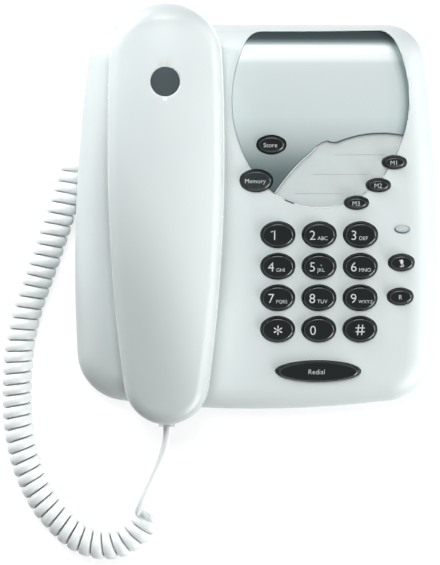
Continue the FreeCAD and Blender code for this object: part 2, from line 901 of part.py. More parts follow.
def upper_housing(holes):
    blank = upper_block("upper_blank", 0)
    skin = cut("upper_skin", blank, upper_block("upper_core", s.wall, below=1, hollow=True))
    ear_radius = s.ear_cup_radius + s.well_gap
    mic_radius = s.mic_cup_radius + s.well_gap
    posts = [
        rod("ear_well_wall", s.handset_x, ear_v, ear_radius + s.wall, well_bottom, 0),
        rod("mic_well_wall", s.handset_x, mic_v, mic_radius + s.wall, well_bottom, 0),
    ]
    for i, (x, v) in enumerate(case_screws):
        posts.append(rod(f"case_boss_{i}", x, v, s.boss_radius, parting, 0))
    for i, (x, v) in enumerate(board_screws):
        posts.append(rod(f"board_boss_{i}", x, v, s.board_boss_radius, board_top, 0))
    inside = common("upper_inside", join("upper_posts", *posts), blank)
    bracket = box(
        "switch_bracket",
        span(s.handset_x, s.switch_half_width),
        (switch_back_v - s.switch_length, switch_back_v - nick * 2),
        (s.switch_top, well_bottom + nick),
    )
    solid = join("upper_solid", skin, inside, bracket)
    tools = [
        rod("ear_well", s.handset_x, ear_v, ear_radius, well_floor, above),
        rod("mic_well", s.handset_x, mic_v, mic_radius, well_floor, above),
        box(
            "hook_hole",
            span(s.handset_x, s.hook_half_width + s.rest_gap),
            span(ear_v, s.hook_half_length + s.rest_gap),
            (well_bottom - nick, well_floor + nick),
        ),
        cut(
            "panel_recess",
            prism("panel_recess_prism", draw_panel_outline, -s.fit_gap, below_walls, above),
            upper_block("panel_recess_floor", s.panel_seat, below=past * 2),
        ),
        box(
            "side_key_relief",
            span(panel_x + s.mute_x, s.side_key_length / 2 + s.key_flange_side * 2),
            (s.recall_v - s.side_key_width, s.mute_v + s.side_key_width),
            (board_bottom, -s.wall),
        ),
        holes,
        oval(
            "lamp_hole",
            lamp_x,
            s.lamp_v,
            s.lamp_length + s.seat_gap * 2,
            s.lamp_width + s.seat_gap * 2,
            below_walls,
            above,
        ),
    ]
    pilot = s.screw_radius + s.seat_gap
    for i, (x, v) in enumerate(case_screws):
        tools.append(rod(f"case_pilot_{i}", x, v, pilot, parting - nick, parting + s.screw_length - nick))
    board_pilot = s.board_screw_radius + s.seat_gap
    for i, (x, v) in enumerate(board_screws):
        tools.append(rod(f"board_pilot_{i}", x, v, board_pilot, board_top - nick, board_pilot_top))
    finish("base_upper_housing", cut("upper_housing", solid, join("upper_tools", *tools)))


# The edge where the fascia gives way to the index cover, from the middle of the panel: each point with the
# radius of the arc that leads to the next, above nought where the arc bulges to the left of its way.
SPLIT_EDGE = [
    ((-21.5, -33.75), 84.8),
    ((-4, -14.1), 12.9),
    ((3.5, -9.3), -6.9),
    ((7.9, -9.9), 52),
]
SPLIT_REST = [(40, -6.9), (52, -6.9), (52, -47), (-28, -47), (-28, -43)]


def arc_between(start, end, radius):
    """The arc that joins two points, and the numbers of its ends in the order asked for."""
    chord = math.hypot(end[0] - start[0], end[1] - start[1])
    ux, uy = (end[0] - start[0]) / chord, (end[1] - start[1]) / chord
    off = math.copysign(math.sqrt(radius**2 - chord**2 / 4), radius)
    cx, cy = (start[0] + end[0]) / 2 + off * uy, (start[1] + end[1]) / 2 - off * ux
    first, last = (end, start) if radius > 0 else (start, end)
    angles = [math.atan2(p[1] - cy, p[0] - cx) for p in (first, last)]
    circle = Part.Circle(Vector(cx, cy, 0), Vector(0, 0, 1), abs(radius))
    return Part.ArcOfCircle(circle, *angles), ((2, 1) if radius > 0 else (1, 2))


def split_region(name, shift_x=0, shift_v=0):
    """The lower right part of the panel, under the curve where the fascia gives way to the index cover."""
    body = new_body(name)
    sketch = new_sketch(body, name + "_outline", below_walls, x=panel_x + shift_x, y=s.panel_v + shift_v)
    starts = [point for point, _ in SPLIT_EDGE] + SPLIT_REST
    ends = starts[1:] + starts[:1]
    tips = []
    for i, (start, end) in enumerate(zip(starts, ends)):
        if i < len(SPLIT_EDGE):
            arc, order = arc_between(start, end, SPLIT_EDGE[i][1])
            sketch.addGeometry(arc)
            tips.append(order)
        else:
            sketch.addGeometry(Part.LineSegment(Vector(*start, 0), Vector(*end, 0)))
            tips.append((1, 2))
    for i, (x, v) in enumerate(starts):
        before = i - 1 if i else len(starts) - 1
        sketch.addConstraint(Sketcher.Constraint("Coincident", before, tips[before][1], i, tips[i][0]))
        constrain(sketch, "DistanceX", -1, 1, i, tips[i][0], value=x)
        constrain(sketch, "DistanceY", -1, 1, i, tips[i][0], value=v)
        if i < len(SPLIT_EDGE):
            constrain(sketch, "Radius", i, value=abs(SPLIT_EDGE[i][1]))
    pad(body, sketch, name + "_pad", above - below_walls)
    return body


def curved_slice(name, outline, outer, inner):
    """What lies inside a prism, between two skins that follow the housing's rounded edge."""
    depth = past * 2
    layer = cut(
        name + "_layer",
        upper_block(name + "_over", outer, below=depth),
        upper_block(name + "_under", inner, below=depth + nick),
    )
    return common(name + "_slice", layer, outline)


def fascia(holes):
    barrel = prism("fascia_barrel", draw_panel_outline, 0, parting + past, above)
    plate = curved_slice("fascia", barrel, -s.panel_proud, s.panel_seat - s.seat_gap)
    tools = join("fascia_tools", split_region("fascia_split"), holes)
    finish("fascia_panel", cut("fascia_plate", plate, tools))


def index_window(holes):
    """The paper card with its clear cover, which fill the corner of the panel that the fascia leaves."""
    barrel = prism("index_barrel", draw_panel_outline, s.seat_gap, parting + past, above)
    region = common("index_region", barrel, split_region("index_split", 0.25, -0.36))
    cover_under = s.cover_thickness - s.cover_proud
    card_top = cover_under + s.rest_gap
    card = curved_slice("card", region, card_top, card_top + s.card_thickness)
    finish("index_card", cut("card_plate", card, holes))
    cover = curved_slice("cover", region, -s.cover_proud, cover_under)
    finish("index_cover", cut("cover_plate", cover, holes))


def key(name, x, v, length, width):
    """A key: an oval cap with a bevelled edge on a square flange that keeps it in."""
    body = new_body(name)
    side = s.key_flange_side * 2
    flange = new_sketch(body, name + "_flange", flange_bottom, x=x, y=v)
    draw_rectangle(flange, length + side, width + side)
    pad(body, flange, name + "_flange_pad", s.key_flange)
    cap = new_sketch(body, name + "_cap", flange_top, x=x, y=v)
    draw_oval(cap, length, width)
    cap_pad = pad(body, cap, name + "_cap_pad", s.key_proud - flange_top)
    dress(body, "Chamfer", name + "_edge", cap_pad, level_edges(s.key_proud), s.key_edge)
    finish(name, body)


def keypad():
    """The rubber mat with a puck under each key, on the board that its contacts close."""
    corner_left = board_screw_xs[0] + s.board_boss_radius + s.boss_gap
    thick = (board_top, mat_top)
    wide = (board_left + s.mat_inset, board_right)
    middle = (corner_left, panel_x + s.mat_tail_right)
    mat = [
        box("mat_wide", wide, (s.mat_shoulder, s.mat_back), thick),
        box("mat_middle", middle, (s.board_shoulder, s.mat_shoulder), thick),
        box("mat_tail", board_tail, (s.mat_front, s.board_shoulder), thick),
    ]
    for name, x, v, _, _ in keys:
        puck = (span(x, s.puck_half_width), span(v, s.puck_half_width))
        mat.append(box(name + "_puck", *puck, (mat_top, dome_top)))
    hole = s.led_radius + s.led_gap
    lamp_hole = rod("mat_lamp_hole", lamp_x, s.lamp_v, hole, board_top - nick, mat_top + nick)
    finish("keypad_mat", cut("keypad_rubber", join("mat_solid", *mat), lamp_hole))


# What is soldered under the board, across from the panel's middle line and up the face. The chips are x, v,
# length, width and height, and the cans x and v.
CHIPS = [(0.2, -20, 18, 12, 3.2), (-23.8, -42, 9, 14, 2.4), (22.2, 12, 12, 9, 6), (30.2, -40, 8, 8, 5)]
CANS = [(10.2, 30), (26.2, 36), (-33.8, -20)]


def main_board():
    thick = (board_bottom, board_top)
    plates = [
        box("board_wide", (board_left, board_right), (s.board_shoulder, s.board_back), thick),
        box("board_tail", board_tail, (s.board_front, s.board_shoulder), thick),
    ]
    for i, (x, v, length, width, height) in enumerate(CHIPS):
        ends = (board_bottom - height, board_bottom)
        plates.append(box(f"chip_{i}", span(panel_x + x, length / 2), span(v, width / 2), ends))
    for i, (x, v) in enumerate(CANS):
        low = board_bottom - s.can_height
        plates.append(rod(f"can_{i}", panel_x + x, v, s.can_radius, low, board_bottom))
    bore = s.board_screw_radius + s.seat_gap
    holes = [
        rod(f"board_hole_{i}", x, v, bore, board_bottom - nick, board_top + nick)
        for i, (x, v) in enumerate(board_screws)
    ]
    finish("main_board", cut("board", join("board_solid", *plates), join("board_holes", *holes)))
    screws = []
    for i, (x, v) in enumerate(board_screws):
        head = board_bottom - s.board_screw_head_height
        screws.append(rod(f"board_screw_head_{i}", x, v, s.board_screw_head, head, board_bottom))
        top = board_pilot_top - s.rest_gap
        screws.append(rod(f"board_screw_shaft_{i}", x, v, s.board_screw_radius, board_bottom, top))
    finish("board_screws", join("board_screw_set", *screws))


def lamp():
    """The in-use lamp: an oval lens in the face over a light on the board."""
    under_wall = -(s.wall + s.seat_gap)
    side = s.key_flange_side * 2
    pieces = [
        oval("lens_head", lamp_x, s.lamp_v, s.lamp_length, s.lamp_width, under_wall, s.lamp_proud),
        oval(
            "lens_flange",
            lamp_x,
            s.lamp_v,
            s.lamp_length + side,
            s.lamp_width + side,
            under_wall - s.lamp_proud * 2,
            under_wall,
        ),
    ]
    finish("lamp_lens", join("lens", *pieces))
    led_top = under_wall - s.lamp_proud * 3
    light = rod("led", lamp_x, s.lamp_v, s.led_radius, board_top, led_top, tilted=True)
    finish("lamp_led", light, tilted=False)


SOUND_SLOTS = 5


def lower_housing():
    blank = lower_block("lower_blank", 0, s.bottom_z)
    skin = cut("lower_skin", blank, lower_block("lower_core", s.lower_wall, floor_top, above=1))
    deep = parting - s.face_height * 1.5
    post = s.boss_radius + s.post_extra
    posts = [
        rod(f"screw_post_{i}", x, v, post, deep, parting, tilted=True)
        for i, (x, v) in enumerate(case_screws)
    ]
    tunnel_y, tunnel_z = s.plug_width / 2 + s.tunnel_gap_y, s.plug_height / 2 + s.tunnel_gap_z
    tunnel = (jack_face_x - s.base_half_width / 2, jack_face_x)
    posts += [
        box(
            "tunnel_wall",
            tunnel,
            span(s.jack_y, tunnel_y + s.lower_wall),
            (s.bottom_z, s.cord_z + tunnel_z + s.lower_wall),
        ),
        box(
            "niche_wall",
            (s.niche_left - s.lower_wall, s.niche_right + s.lower_wall),
            (niche_y - s.lower_wall, niche_back),
            (s.bottom_z, s.niche_high + s.lower_wall),
        ),
        cut(
            "ringer_rib",
            rod("ringer_rib_out", s.ringer_x, s.ringer_y, ringer_rib_out, s.bottom_z, ringer_rib_top),
            rod("ringer_rib_in", s.ringer_x, s.ringer_y, ringer_rib, floor_top, ringer_rib_top + nick),
        ),
    ]
    inside = common("lower_inside", join("lower_posts", *posts), blank)
    low = s.bottom_z - past
    tools = [
        box("tunnel_bore", tunnel, span(s.jack_y, tunnel_y), span(s.cord_z, tunnel_z)),
        box(
            "niche",
            (s.niche_left, s.niche_right),
            (niche_y, niche_back),
            (s.niche_low, s.niche_high),
        ),
        box(
            "socket_mouth",
            span(s.line_socket_x, s.line_socket_width / 2 + s.rest_gap),
            span(niche_y, s.lower_wall + nick),
            span(s.line_socket_z, s.line_socket_height / 2 + s.rest_gap),
        ),
        box(
            "knob_slot",
            (knob_span[0] - s.rest_gap, knob_span[1] + s.rest_gap),
            span(niche_y, s.lower_wall + nick),
            span(s.knob_z, s.knob_height / 2 + s.rest_gap),
        ),
    ]
    bore = s.screw_radius + s.fit_gap
    well = s.screw_head_radius + s.rest_gap
    for i, (x, v) in enumerate(case_screws):
        tools.append(rod(f"screw_bore_{i}", x, v, bore, deep, parting + nick, tilted=True))
        tools.append(rod(f"screw_well_{i}", x, v, well, deep, parting - s.screw_web, tilted=True))
    for i, (x, y) in enumerate(feet):
        recess = s.foot_radius + s.fit_gap
        tools.append(rod(f"foot_recess_{i}", x, y, recess, low, s.bottom_z + s.foot_recess))
    for side in (-1, 1):
        x = s.keyhole_x * side
        end = s.keyhole_y + s.keyhole_slot
        high = floor_top + nick
        tools.append(rod(f"keyhole_{side}", x, s.keyhole_y, s.keyhole_radius, low, high))
        tools.append(rod(f"keyhole_end_{side}", x, end, s.keyhole_slot_radius, low, high))
        slot = span(x, s.keyhole_slot_radius)
        tools.append(box(f"keyhole_slot_{side}", slot, (s.keyhole_y, end), (low, high)))
    middle = (SOUND_SLOTS - 1) / 2
    for i in range(SOUND_SLOTS):
        y = s.ringer_y + s.sound_slot_pitch * (i - middle)
        reach = s.sound_slot_reach if abs(i - middle) < middle else s.sound_slot_end_reach
        slot = span(y, s.sound_slot_width / 2)
        tools.append(box(f"sound_slot_{i}", span(s.ringer_x, reach), slot, (low, floor_top + nick)))
    solid = join("lower_solid", skin, inside)
    finish("base_lower_housing", cut("lower_housing", solid, join("lower_tools", *tools)), tilted=False)


def rubber_feet():
    body = new_body("feet")
    sketch = new_sketch(body, "feet_outline")
    for x, y in feet:
        draw_circle(sketch, s.foot_radius, x, y)
    pads = pad(body, sketch, "feet_pad", s.bottom_z + s.foot_recess - s.seat_gap)
    dress(body, "Chamfer", "feet_edge", pads, level_edges(0), s.foot_edge)
    finish("rubber_feet", body, tilted=False)


def case_screw_set():
    seat = parting - s.screw_web
    pieces = []
    for i, (x, v) in enumerate(case_screws):
        pieces.append(rod(f"screw_head_{i}", x, v, s.screw_head_radius, seat - s.screw_head, seat))
        pieces.append(rod(f"screw_shaft_{i}", x, v, s.screw_radius, seat, seat + s.screw_length))
    finish("housing_screws", join("housing_screw_set", *pieces))


def draw_polygon(sketch, points):
    """A closed outline of straight sides through driven points."""
    points = [tuple(as_size(c) for c in point) for point in points]
    corners = [Vector(x.number, y.number, 0) for x, y in points]
    for i, corner in enumerate(corners):
        sketch.addGeometry(Part.LineSegment(corner, corners[(i + 1) % len(corners)]))
    for i, (x, y) in enumerate(points):
        sketch.addConstraint(Sketcher.Constraint("Coincident", i - 1 if i else len(points) - 1, 2, i, 1))
        constrain(sketch, "DistanceX", -1, 1, i, 1, value=x)
        constrain(sketch, "DistanceY", -1, 1, i, 1, value=y)


def hook():
    side = s.hook_flange
    plunger = [
        box(
            "hook_stem",
            span(s.handset_x, s.hook_half_width),
            span(ear_v, s.hook_half_length),
            (collar_top, well_floor),
        ),
        box(
            "hook_collar",
            span(s.handset_x, s.hook_half_width + side),
            span(ear_v, s.hook_half_length + side),
            (collar_bottom, collar_top),
        ),
    ]
    finish("hook_plunger", join("plunger", *plunger))
    switch = box(
        "switch",
        span(s.handset_x, s.switch_half_width),
        (switch_back_v - s.switch_length, switch_back_v),
        (s.switch_top - s.switch_height, s.switch_top),
        tilted=True,
    )
    finish("hook_switch", switch, tilted=False)
    leaf = new_body("leaf")
    sketch = new_sketch(leaf, "leaf_outline", s.handset_x, role="YZ_Plane")
    root = leaf_top - 3
    bend = ear_v - s.hook_half_length + s.switch_half_width / 3
    tip = ear_v + s.hook_half_length
    thick = s.leaf_thickness
    draw_polygon(
        sketch,
        [
            (switch_back_v, root - thick),
            (bend, leaf_top - thick),
            (tip, leaf_top - thick),
            (tip, leaf_top),
            (bend, leaf_top),
            (switch_back_v, root),
        ],
    )
    strip = pad(leaf, sketch, "leaf_pad", s.leaf_half_width * 2)
    strip.Midplane = True
    finish("hook_spring", leaf)


def rear_sockets():
    """The socket for the line and the ringer switch, behind the plate of the rear niche."""
    behind = niche_y - s.lower_wall - s.seat_gap
    half_x = s.line_socket_width / 2
    half_z = s.line_socket_height / 2
    block = box(
        "line_block",
        span(s.line_socket_x, half_x + s.socket_wall),
        (behind - s.line_socket_depth - s.socket_back_wall, behind),
        (s.niche_low, s.line_socket_z + half_z + s.socket_wall),
    )
    cavity = box(
        "line_cavity",
        span(s.line_socket_x, half_x),
        (behind - s.line_socket_depth, behind + nick),
        span(s.line_socket_z, half_z),
    )
    latch = box(
        "line_latch",
        span(s.line_socket_x, s.line_latch_half_width),
        (behind - s.line_socket_depth, behind + nick),
        (s.line_socket_z - half_z - s.plug_latch - s.fit_gap, s.line_socket_z),
    )
    holes = join("line_holes", cavity, latch)
    finish("line_socket", cut("line_socket_body", block, holes), tilted=False)
    front = niche_y + s.knob_proud - s.knob_length
    middle = s.knob_x + s.knob_travel / 2
    switch = box(
        "ringer_switch_block",
        span(middle, s.ringer_switch_half_width),
        (behind - s.knob_length, behind),
        span(s.knob_z, s.ringer_switch_half_height),
    )
    slot = box(
        "ringer_switch_slot",
        (knob_span[0] - s.rest_gap, knob_span[1] + s.rest_gap),
        (front - s.rest_gap, behind + nick),
        span(s.knob_z, s.knob_height / 2 + s.rest_gap),
    )
    finish("ringer_switch_body", cut("ringer_switch_solid", switch, slot), tilted=False)
    knob = box(
        "knob",
        span(s.knob_x, s.knob_width / 2),
        (front, front + s.knob_length),
        span(s.knob_z, s.knob_height / 2),
    )
    finish("ringer_knob", knob, tilted=False)
    disc = rod("ringer_disc", s.ringer_x, s.ringer_y, s.ringer_radius, floor_top, ringer_top)
    finish("ringer_sounder", disc, tilted=False)


def draw_arch(sketch, inset):
    """The hollow under the grip, along the handset: one long arc that blends into the flat underside."""
    reach, blend = arch_radius + inset, s.arch_blend - inset
    low = s.handset_underside + inset
    below = low - s.arch_rise
    centre = Vector(arch_v.number, arch_centre_w.number, 0)
    rise = low.number + blend.number - centre.y
    off = math.sqrt((reach.number + blend.number) ** 2 - rise**2)
    blends = [centre + Vector(side * off, rise, 0) for side in (-1, 1)]
    meets = [centre + (at - centre) * (reach.number / (reach.number + blend.number)) for at in blends]
    starts = [Vector(at.x, low.number, 0) for at in blends]

    def arc(middle, radius, first, last):
        angles = [math.atan2(p.y - middle.y, p.x - middle.x) for p in (first, last)]
        return Part.ArcOfCircle(Part.Circle(middle, Vector(0, 0, 1), radius.number), *angles)

    sketch.addGeometry(arc(blends[0], blend, starts[0], meets[0]))
    sketch.addGeometry(arc(centre, reach, meets[1], meets[0]))
    sketch.addGeometry(arc(blends[1], blend, meets[1], starts[1]))
    corners = [starts[1], Vector(starts[1].x, below.number, 0), Vector(starts[0].x, below.number, 0)]
    for start, end in zip(corners, corners[1:] + [starts[0]]):
        sketch.addGeometry(Part.LineSegment(start, end))
    sketch.addConstraint(Sketcher.Constraint("Tangent", 0, 2, 1, 2))
    sketch.addConstraint(Sketcher.Constraint("Tangent", 1, 1, 2, 1))
    for before, tip, after in ((2, 2, 3), (3, 2, 4), (4, 2, 5)):
        sketch.addConstraint(Sketcher.Constraint("Coincident", before, tip, after, 1))
    sketch.addConstraint(Sketcher.Constraint("Coincident", 5, 2, 0, 1))
    sketch.addConstraint(Sketcher.Constraint("Vertical", 0, 3, 0, 1))
    sketch.addConstraint(Sketcher.Constraint("Vertical", 2, 3, 2, 2))
    sketch.addConstraint(Sketcher.Constraint("Vertical", 3))
    sketch.addConstraint(Sketcher.Constraint("Horizontal", 4))
    sketch.addConstraint(Sketcher.Constraint("Vertical", 5))
    constrain(sketch, "Radius", 0, value=blend)
    constrain(sketch, "Radius", 2, value=blend)
    constrain(sketch, "Radius", 1, value=reach)
    constrain(sketch, "DistanceX", -1, 1, 1, 3, value=arch_v)
    constrain(sketch, "DistanceY", -1, 1, 1, 3, value=arch_centre_w)
    constrain(sketch, "DistanceY", -1, 1, 0, 3, value=low + blend)
    constrain(sketch, "DistanceY", -1, 1, 2, 3, value=low + blend)
    constrain(sketch, "DistanceY", -1, 1, 4, 1, value=below)


def front_form(name, inset, low, high):
    """The handset's lower form: its outline between two levels, with the arch for the fingers beneath."""
    inset = as_size(inset)
    body = prism(name, draw_handset_outline, inset, low, high)
    block = body.Tip
    arch = new_sketch(body, name + "_arch", s.handset_x, role="YZ_Plane")
    draw_arch(arch, inset)
    pocket = body.newObject("PartDesign::Pocket", name + "_arch_cut")
    pocket.Profile = arch
    pocket.Midplane = True
    bind(pocket, "Length", crown_reach * 2)
    doc.recompute()
    if pocket.Shape.Volume > block.Shape.Volume * 0.99:
        raise RuntimeError(f"{name}: the arch took nothing off")
    return body


def cup(name, v, radius):
    """One of the two round cups under the handset, bevelled at its rim."""
    body = new_body(name)
    sketch = new_sketch(body, name + "_outline", s.cup_bottom, x=s.handset_x, y=v)
    draw_circle(sketch, radius)
    drum = pad(body, sketch, name + "_pad", cup_top - s.cup_bottom)
    dress(body, "Chamfer", name + "_bevel", drum, level_edges(s.cup_bottom), s.cup_bevel)
    return body


def handset_front():
    form = front_form("front_skin", 0, s.handset_underside, s.handset_parting)

    def underside_edges(edge):
        box_of = edge.BoundBox
        return box_of.ZMax < s.handset_parting.number - 1 and box_of.YLength > 1

    dress(form, "Chamfer", "front_bevel", form.Tip, underside_edges, s.underside_bevel)
    outer = join(
        "front_outer",
        form,
        cup("ear_cup", ear_v, s.ear_cup_radius),
        cup("mic_cup", mic_v, s.mic_cup_radius),
    )
    hollow = join(
        "front_hollow",
        front_form("front_core", s.handset_wall, cup_top, s.handset_parting + nick),
        rod("ear_bore", s.handset_x, ear_v, s.ear_cup_radius - s.handset_wall, cup_floor, cup_top + nick),
        rod("mic_bore", s.handset_x, mic_v, s.mic_cup_radius - s.handset_wall, cup_floor, cup_top + nick),
    )
    posts = []
    for i, v in enumerate(handset_screws):
        boss = s.screw_head_radius + s.rest_gap + s.rib_thickness
        posts.append(rod(f"front_boss_{i}", s.handset_x, v, boss, s.handset_underside, s.handset_parting))
    rib = weight_half_length - s.weight_rib_inset
    for i, v in enumerate((weight_v + rib, weight_v - rib)):
        posts.append(
            box(
                f"weight_rib_{i}",
                span(s.handset_x, s.weight_half_width + s.rib_thickness),
                span(v, s.rib_thickness / 2),
                (s.handset_underside, s.weight_seat),
            )
        )
    arch = doc.addObject("Part::Cylinder", "arch_drum")
    bind(arch, "Radius", arch_radius)
    bind(arch, "Height", crown_reach * 2)
    arch.Placement = Placement(Vector(), Rotation(Vector(0, 1, 0), 90))
    place(arch, s.handset_x - crown_reach, arch_v, arch_centre_w)
    inside = cut("front_inside", join("front_posts", *posts), arch)
    ring_in = s.boot_radius + s.rest_gap
    ring_out = ring_in + s.rib_thickness
    ring = cut(
        "boot_ring",
        rod("boot_ring_out", s.handset_x, mic_v, ring_out, s.cup_bottom + nick, boot_ring_top),
        rod("boot_ring_in", s.handset_x, mic_v, ring_in, s.cup_bottom, boot_ring_top + nick),
    )
    solid = join("front_solid", cut("front_shell", outer, hollow), inside, ring)
    tools = [
        box(
            "front_cord_mouth",
            span(s.handset_x, s.plug_width / 2 + s.fit_gap),
            (handset_jack_v - s.plug_length, handset_jack_v - s.seat_gap),
            (s.handset_plug_w - s.plug_height / 2 - s.fit_gap, s.handset_parting + nick),
        ),
        rod("ear_hole", s.handset_x, ear_v, s.sound_hole_radius, s.cup_bottom - nick, cup_floor + nick),
    ]
    for i in range(8):
        turn = math.radians(45 * i)
        x = s.handset_x + s.sound_hole_ring * math.cos(turn)
        v = ear_v + s.sound_hole_ring * math.sin(turn)
        tools.append(rod(f"ear_hole_{i}", x, v, s.sound_hole_radius, s.cup_bottom - nick, cup_floor + nick))
    for i in (-1, 0, 1):
        x = s.handset_x + s.sound_hole_radius * 2 * i
        low, high = s.cup_bottom - nick, cup_floor + nick
        tools.append(rod(f"mic_hole_{i + 1}", x, mic_v, s.mic_hole_radius, low, high))
    for i, v in enumerate(handset_screws):
        bore = s.screw_radius + s.fit_gap
        well = s.screw_head_radius + s.rest_gap
        tools.append(rod(f"front_bore_{i}", s.handset_x, v, bore, s.cup_bottom, s.handset_parting + nick))
        tools.append(rod(f"front_well_{i}", s.handset_x, v, well, s.cup_bottom, s.handset_screw_seat))
    finish("handset_front_shell", cut("front", solid, join("front_tools", *tools)))


def handset_back():
    skin = handset_block("back_skin", s.handset_rim, s.handset_parting)
    core = handset_block(
        "back_core", s.handset_rim + s.handset_wall, s.handset_parting - nick, hollow=True
    )
    posts = [
        rod(f"back_boss_{i}", s.handset_x, v, s.handset_boss_radius, s.handset_parting, s.handset_crown)
        for i, v in enumerate(handset_screws)
    ]
    inside = common("back_inside", join("back_posts", *posts), skin)
    solid = join("back_solid", cut("back_shell", skin, core), inside)
    badge_floor = handset_block("badge_floor", s.handset_rim + s.badge_depth, s.handset_parting - nick)
    drum = rod("badge_drum", s.handset_x, badge_v, s.badge_radius, s.handset_parting + nick, s.handset_crown)
    tools = [
        cut("badge_recess", drum, badge_floor),
        box(
            "back_latch_notch",
            span(s.handset_x, s.plug_latch_width / 2 + s.fit_gap),
            (handset_jack_v - s.plug_length, handset_jack_v - s.seat_gap),
            (s.handset_parting - nick, handset_latch_top + s.fit_gap),
        ),
    ]
    pilot = s.screw_radius + s.seat_gap
    top = s.handset_screw_seat + s.handset_screw_length + nick
    for i, v in enumerate(handset_screws):
        tools.append(rod(f"back_pilot_{i}", s.handset_x, v, pilot, s.handset_parting - nick, top))
    finish("handset_back_shell", cut("back", solid, join("back_tools", *tools)))
    radius = s.badge_radius - s.seat_gap
    disc = rod("badge_disc", s.handset_x, badge_v, radius, s.handset_parting, s.handset_crown)
    badge = common("badge_cap", disc, skin)
    finish("handset_badge", cut("badge", badge, badge_floor))


def handset_inside():
    x, v = s.handset_x, ear_v
    gasket_top = cup_floor + s.gasket_height
    gasket_radius = s.receiver_radius + s.rest_gap
    gasket = cut(
        "gasket",
        rod("gasket_out", x, v, gasket_radius, cup_floor, gasket_top),
        rod("gasket_in", x, v, gasket_radius - s.gasket_width, cup_floor - nick, gasket_top + nick),
    )
    finish("receiver_gasket", gasket)
    receiver_top = gasket_top + s.receiver_height
    drum = [
        rod("receiver_drum", x, v, s.receiver_radius, gasket_top, receiver_top - s.magnet_height),
        rod("receiver_magnet", x, v, s.magnet_radius, receiver_top - s.magnet_height, receiver_top),
    ]
    finish("receiver_capsule", join("receiver", *drum))
    v = mic_v
    capsule_low = cup_floor + s.boot_floor
    capsule_top = capsule_low + s.mic_height
    boot = rod("boot_block", x, v, s.boot_radius, cup_floor, capsule_top)
    bores = join(
        "boot_bores",
        rod("boot_bore", x, v, s.mic_radius, capsule_low, capsule_top + nick),
        rod("boot_port", x, v, s.boot_port_radius, cup_floor - nick, capsule_low + nick),
    )
    finish("microphone_boot", cut("boot", boot, bores))
    capsule = rod("mic_drum", x, v, s.mic_radius - s.seat_gap, capsule_low, capsule_top, tilted=True)
    finish("microphone_capsule", capsule, tilted=False)
    weight = box(
        "weight",
        span(x, s.weight_half_width),
        span(weight_v, weight_half_length),
        (s.weight_seat, s.weight_seat + s.weight_height),
        tilted=True,
    )
    finish("handset_weight", weight, tilted=False)
    socket_low = cup_top + s.seat_gap
    half_x = s.plug_width / 2 + s.fit_gap
    half_w = s.plug_height / 2 + s.seat_gap
    block = box(
        "handset_socket_block",
        span(x, half_x + s.handset_socket_wall),
        (handset_jack_v, handset_jack_v + handset_socket_length),
        (socket_low, handset_latch_top + s.socket_wall),
    )
    depth = (handset_jack_v - nick, handset_jack_v + s.jack_depth)
    holes = [
        box("handset_cavity", span(x, half_x), depth, span(s.handset_plug_w, half_w)),
        box(
            "handset_latch_slot",
            span(x, s.plug_latch_width / 2 + s.fit_gap),
            depth,
            (s.handset_plug_w, handset_latch_top + s.seat_gap * 3),
        ),
    ]
    finish("handset_socket", cut("handset_socket_body", block, join("handset_socket_holes", *holes)))
    seat = s.handset_screw_seat
    screws = []
    for i, screw_v in enumerate(handset_screws):
        screws.append(rod(f"handset_head_{i}", x, screw_v, s.screw_head_radius, seat - s.screw_head, seat))
        top = seat + s.handset_screw_length
        screws.append(rod(f"handset_shaft_{i}", x, screw_v, s.screw_radius, seat, top))
    finish("handset_screws", join("handset_screw_set", *screws))


def base_jack():
    """The socket at the left for the handset's cord."""
    half_y = s.plug_width / 2 + s.fit_gap
    half_z = s.plug_height / 2 + s.seat_gap
    face = jack_face_x + s.seat_gap
    latch_low = s.cord_z - half_z - s.plug_latch - s.fit_gap
    block = box(
        "jack_block",
        (face, face + s.jack_depth + jack_back),
        span(s.jack_y, half_y + s.socket_wall),
        (floor_top, s.cord_z + half_z + s.socket_wall),
    )
    depth = (face - nick, face + s.jack_depth)
    holes = [
        box("jack_cavity", depth, span(s.jack_y, half_y), span(s.cord_z, half_z)),
        box("jack_latch", depth, span(s.jack_y, s.plug_latch_width / 2 + s.fit_gap), (latch_low, s.cord_z)),
    ]
    finish("handset_jack", cut("jack", block, join("jack_holes", *holes)), tilted=False)


def plug(name, rear_x, rear_y, middle, along, latch_side, tilted):
    """A clear modular plug with its springy latch: its rear face is where the cord enters."""
    half = s.plug_width / 2
    half_z = s.plug_height / 2
    tip = s.plug_length
    strip = s.plug_latch_width / 2
    if latch_side > 0:
        latch_z = (middle + half_z, middle + half_z + s.plug_latch)
    else:
        latch_z = (middle - half_z - s.plug_latch, middle - half_z)
    latch_run = (as_size(1), tip - 1)
    if along == "x":
        spans = [(rear_x, rear_x + tip), span(rear_y, half)]
        latch = [(rear_x + latch_run[0], rear_x + latch_run[1]), span(rear_y, strip)]
    else:
        spans = [span(rear_x, half), (rear_y, rear_y + tip)]
        latch = [span(rear_x, strip), (rear_y + latch_run[0], rear_y + latch_run[1])]
    body = box(name + "_body", *spans, span(middle, half_z))
    made = join(name + "_solid", body, box(name + "_latch", *latch, latch_z))
    finish(name, made, tilted=tilted)


def under_board(y):
    """The height of the board's underside over the desk at one y."""
    return s.face_height + board_bottom / cosine(s.tilt) + as_size(y) * sine(s.tilt) / cosine(s.tilt)


